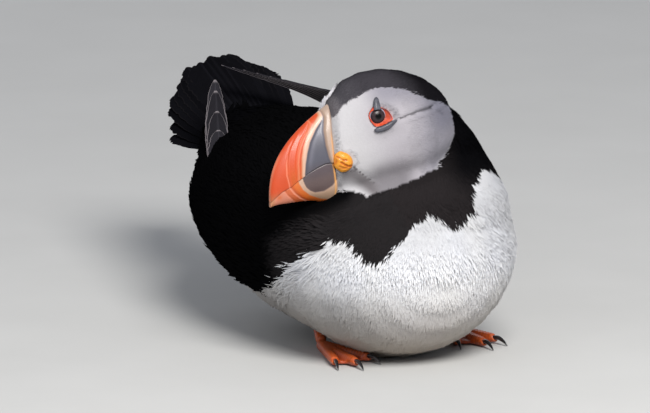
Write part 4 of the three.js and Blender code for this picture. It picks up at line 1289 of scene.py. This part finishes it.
def flight_feathers(name, feathers, replaced, shape, rim, body):
    """Feathers as one mesh."""
    grids = [feather(number, f, shape, rim, body) for number, f in enumerate(feathers)]
    verts, tints, lays = (np.concatenate(arrays) for arrays in zip(*grids))
    rows, columns = FEATHER_GRID
    faces = [grid_faces(rows, columns) + number * rows * columns for number in range(len(feathers))]
    made = make_object(name, verts, [np.concatenate(faces)], FLIGHT_FEATHER, tints, extra=lays)
    finish_piece(made, "flight_feather", replaced)


# Each folded wing's tip: the top feather's line, the direction across it and its half width, the shares of
# its length that the feathers under it reach, the stack's steps at its root, middle and end, and its start.
WING_TIPS = {
    "right": dict(line=[(-37, 68, 46), (-33.4, 97, 66.6), (-15, 141, 91.5)], across=(-0.9, 0.44, 0.05),
                  half=5.4, reaches=[1, 0.93, 0.8, 0.68, 0.53, 0.41, 0.27], stack=(0.4, 0.3, 0.2), start=0),
    "left": dict(line=[(41, 74, 63), (26, 114, 84.6), (-3, 160, 95)], across=(0.77, 0.54, -0.33), half=6.4,
                 reaches=[1, 0.95, 0.9, 0.84, 0.78, 0.72, 0.65, 0.58, 0.5], stack=(1.1, 1.2, 0.6),
                 start=-2.9),
}
TIP_RIM, TIP_BODY = (124, 118, 121), (38, 37, 41)
# Loose small feathers over the right tip: where along it each begins and ends, and how far aside it ends.
LOOSE = [(0.42, 0.66, 4.6), (0.36, 0.6, 5.4), (0.3, 0.53, 6.6), (0.24, 0.44, 5.8)]
for name, tip in WING_TIPS.items():
    across = unit(tip["across"])
    root, middle, end = np.array(tip["line"], float)
    bow = middle - (root + end) / 2
    stack = []
    for i, share in enumerate(tip["reaches"]):
        knots = np.array([root, root + (middle - root) * (share + 1) / 2,
                          root + (end - root) * share + bow * (1 - share) * 2])
        shift = np.outer(tip["stack"], across * (i * 0.3) + np.array([0, 0, i + tip["start"]]))
        stack.append(dict(line=knots + shift, across=across, half=tip["half"] * (1 + 0.03 * i), cup=0.9,
                          lead=0.85))
    for start, stop, aside in LOOSE if name == "right" else []:
        first, last = (root + (end - root) * t + bow * 4 * t * (1 - t) for t in (start, stop))
        first, last = first - across * 2.5, last - across * aside
        stack.append(dict(line=np.array([first, (first + last) / 2 + [0, 0, 0.6], last]) + [0, 0, 2.0],
                          across=across + [0, 0, 0.25], half=1.7, cup=0.5))
    flight_feathers(f"wing_tip_{name}", stack, f"primaries_{name}", POINTED, TIP_RIM, TIP_BODY)

TAIL_BASE, TAIL_TIP = np.array([0.0, 128.0, 69.0]), np.array([8.0, 198.0, 88.0])
TAIL_ROLL, TAIL_HALF_BASE, TAIL_HALF_TIP, TAIL_FEATHERS = math.radians(13), 14.0, 21.5, 19
TAIL_FIRST = -1.36  # the outermost feather on the right, in half widths of the fan
TAIL_RIM, TAIL_BODY = (30, 28, 30), (14, 14, 17)
tail = []
tail_across = np.array([math.cos(TAIL_ROLL), 0, math.sin(TAIL_ROLL)])
for u in TAIL_FIRST + (1 - TAIL_FIRST) * np.arange(TAIL_FEATHERS) / (TAIL_FEATHERS - 1):
    reach = (1 - 0.2 * min(u * u, 1) - 0.85 * max(-u - 1, 0)) * rng.uniform(0.95, 1.03)
    knots = []
    for t in (0, 0.5, 1):
        wide = TAIL_HALF_BASE + (TAIL_HALF_TIP - TAIL_HALF_BASE) * t ** 0.8
        knots.append(TAIL_BASE + (TAIL_TIP - TAIL_BASE) * t * reach + tail_across * u * wide
                     + np.array([0, 0, 0.9 * (1 - abs(u)) - 3.6 * t * u * u]))
    tail.append(dict(line=knots, across=tail_across, half=5.9, cup=0.6, fray=0.07))
flight_feathers("tail_fan", tail, "tail", ROUND, TAIL_RIM, TAIL_BODY)

# ---- camera, light and floor ----
AZIMUTH, ELEVATION, DISTANCE = math.radians(26), math.radians(12), 7.0
TARGET = Vector((-25.9, 12.5, 62.2)) * MM
VIEW_WIDTH = 0.2708  # metres across the picture at the bird
SENSOR = 36
away = Vector((-math.sin(AZIMUTH) * math.cos(ELEVATION), -math.cos(AZIMUTH) * math.cos(ELEVATION),
               math.sin(ELEVATION)))
rightward = Vector((math.cos(AZIMUTH), -math.sin(AZIMUTH), 0))
camera = placed("camera", bpy.data.cameras.new("camera"))
camera.location = TARGET + away * DISTANCE
camera.rotation_euler = away.to_track_quat("Z", "Y").to_euler()
camera.data.sensor_width = SENSOR
camera.data.lens = SENSOR * DISTANCE / VIEW_WIDTH
bpy.context.scene.camera = camera


def area_light(name, direction, far, size, power, colour):
    lamp = bpy.data.lights.new(name, "AREA")
    lamp.shape = "DISK"
    lamp.size = size
    lamp.energy = power
    lamp.color = colour
    made = placed(name, lamp)
    direction = Vector(direction).normalized()
    made.location = TARGET + direction * far
    made.rotation_euler = direction.to_track_quat("Z", "Y").to_euler()


up = Vector((0, 0, 1))
area_light("key", away * 1.0 + rightward * 0.35 + up * 0.85, 1.6, 0.8, 35, (1, 0.98, 0.95))
area_light("fill", away * 0.7 - rightward * 0.8 + up * 0.5, 1.8, 1.4, 3.5, (0.93, 0.96, 1))
area_light("rim", away * -0.9 - rightward * 0.2 + up * 0.7, 1.8, 1.0, 3, (0.95, 0.97, 1))
world = bpy.data.worlds.new("studio")
world.use_nodes = True
world.node_tree.nodes["Background"].inputs["Color"].default_value = (0.86, 0.9, 1, 1)
world.node_tree.nodes["Background"].inputs["Strength"].default_value = 0.34
bpy.context.scene.world = world
bpy.context.scene.view_settings.view_transform = "Standard"

floor_paint, floor_tree, floor_shader = new_material("floor_paint", 0.8, 0.3)
floor_noise = noise_of(floor_tree, 60.0)
ramp = floor_tree.nodes.new("ShaderNodeValToRGB")
ramp.color_ramp.elements[0].color = (0.50, 0.50, 0.49, 1)
ramp.color_ramp.elements[1].color = (0.55, 0.55, 0.54, 1)
floor_tree.links.new(floor_noise, ramp.inputs["Fac"])
floor_tree.links.new(ramp.outputs["Color"], floor_shader.inputs["Base Color"])
FLOOR_HALF = 8000.0
corners = np.array([[-1, -1, 0], [1, -1, 0], [1, 1, 0], [-1, 1, 0]]) * FLOOR_HALF
make_object("floor", corners, [np.array([[0, 1, 2, 3]])], floor_paint, smooth=False)
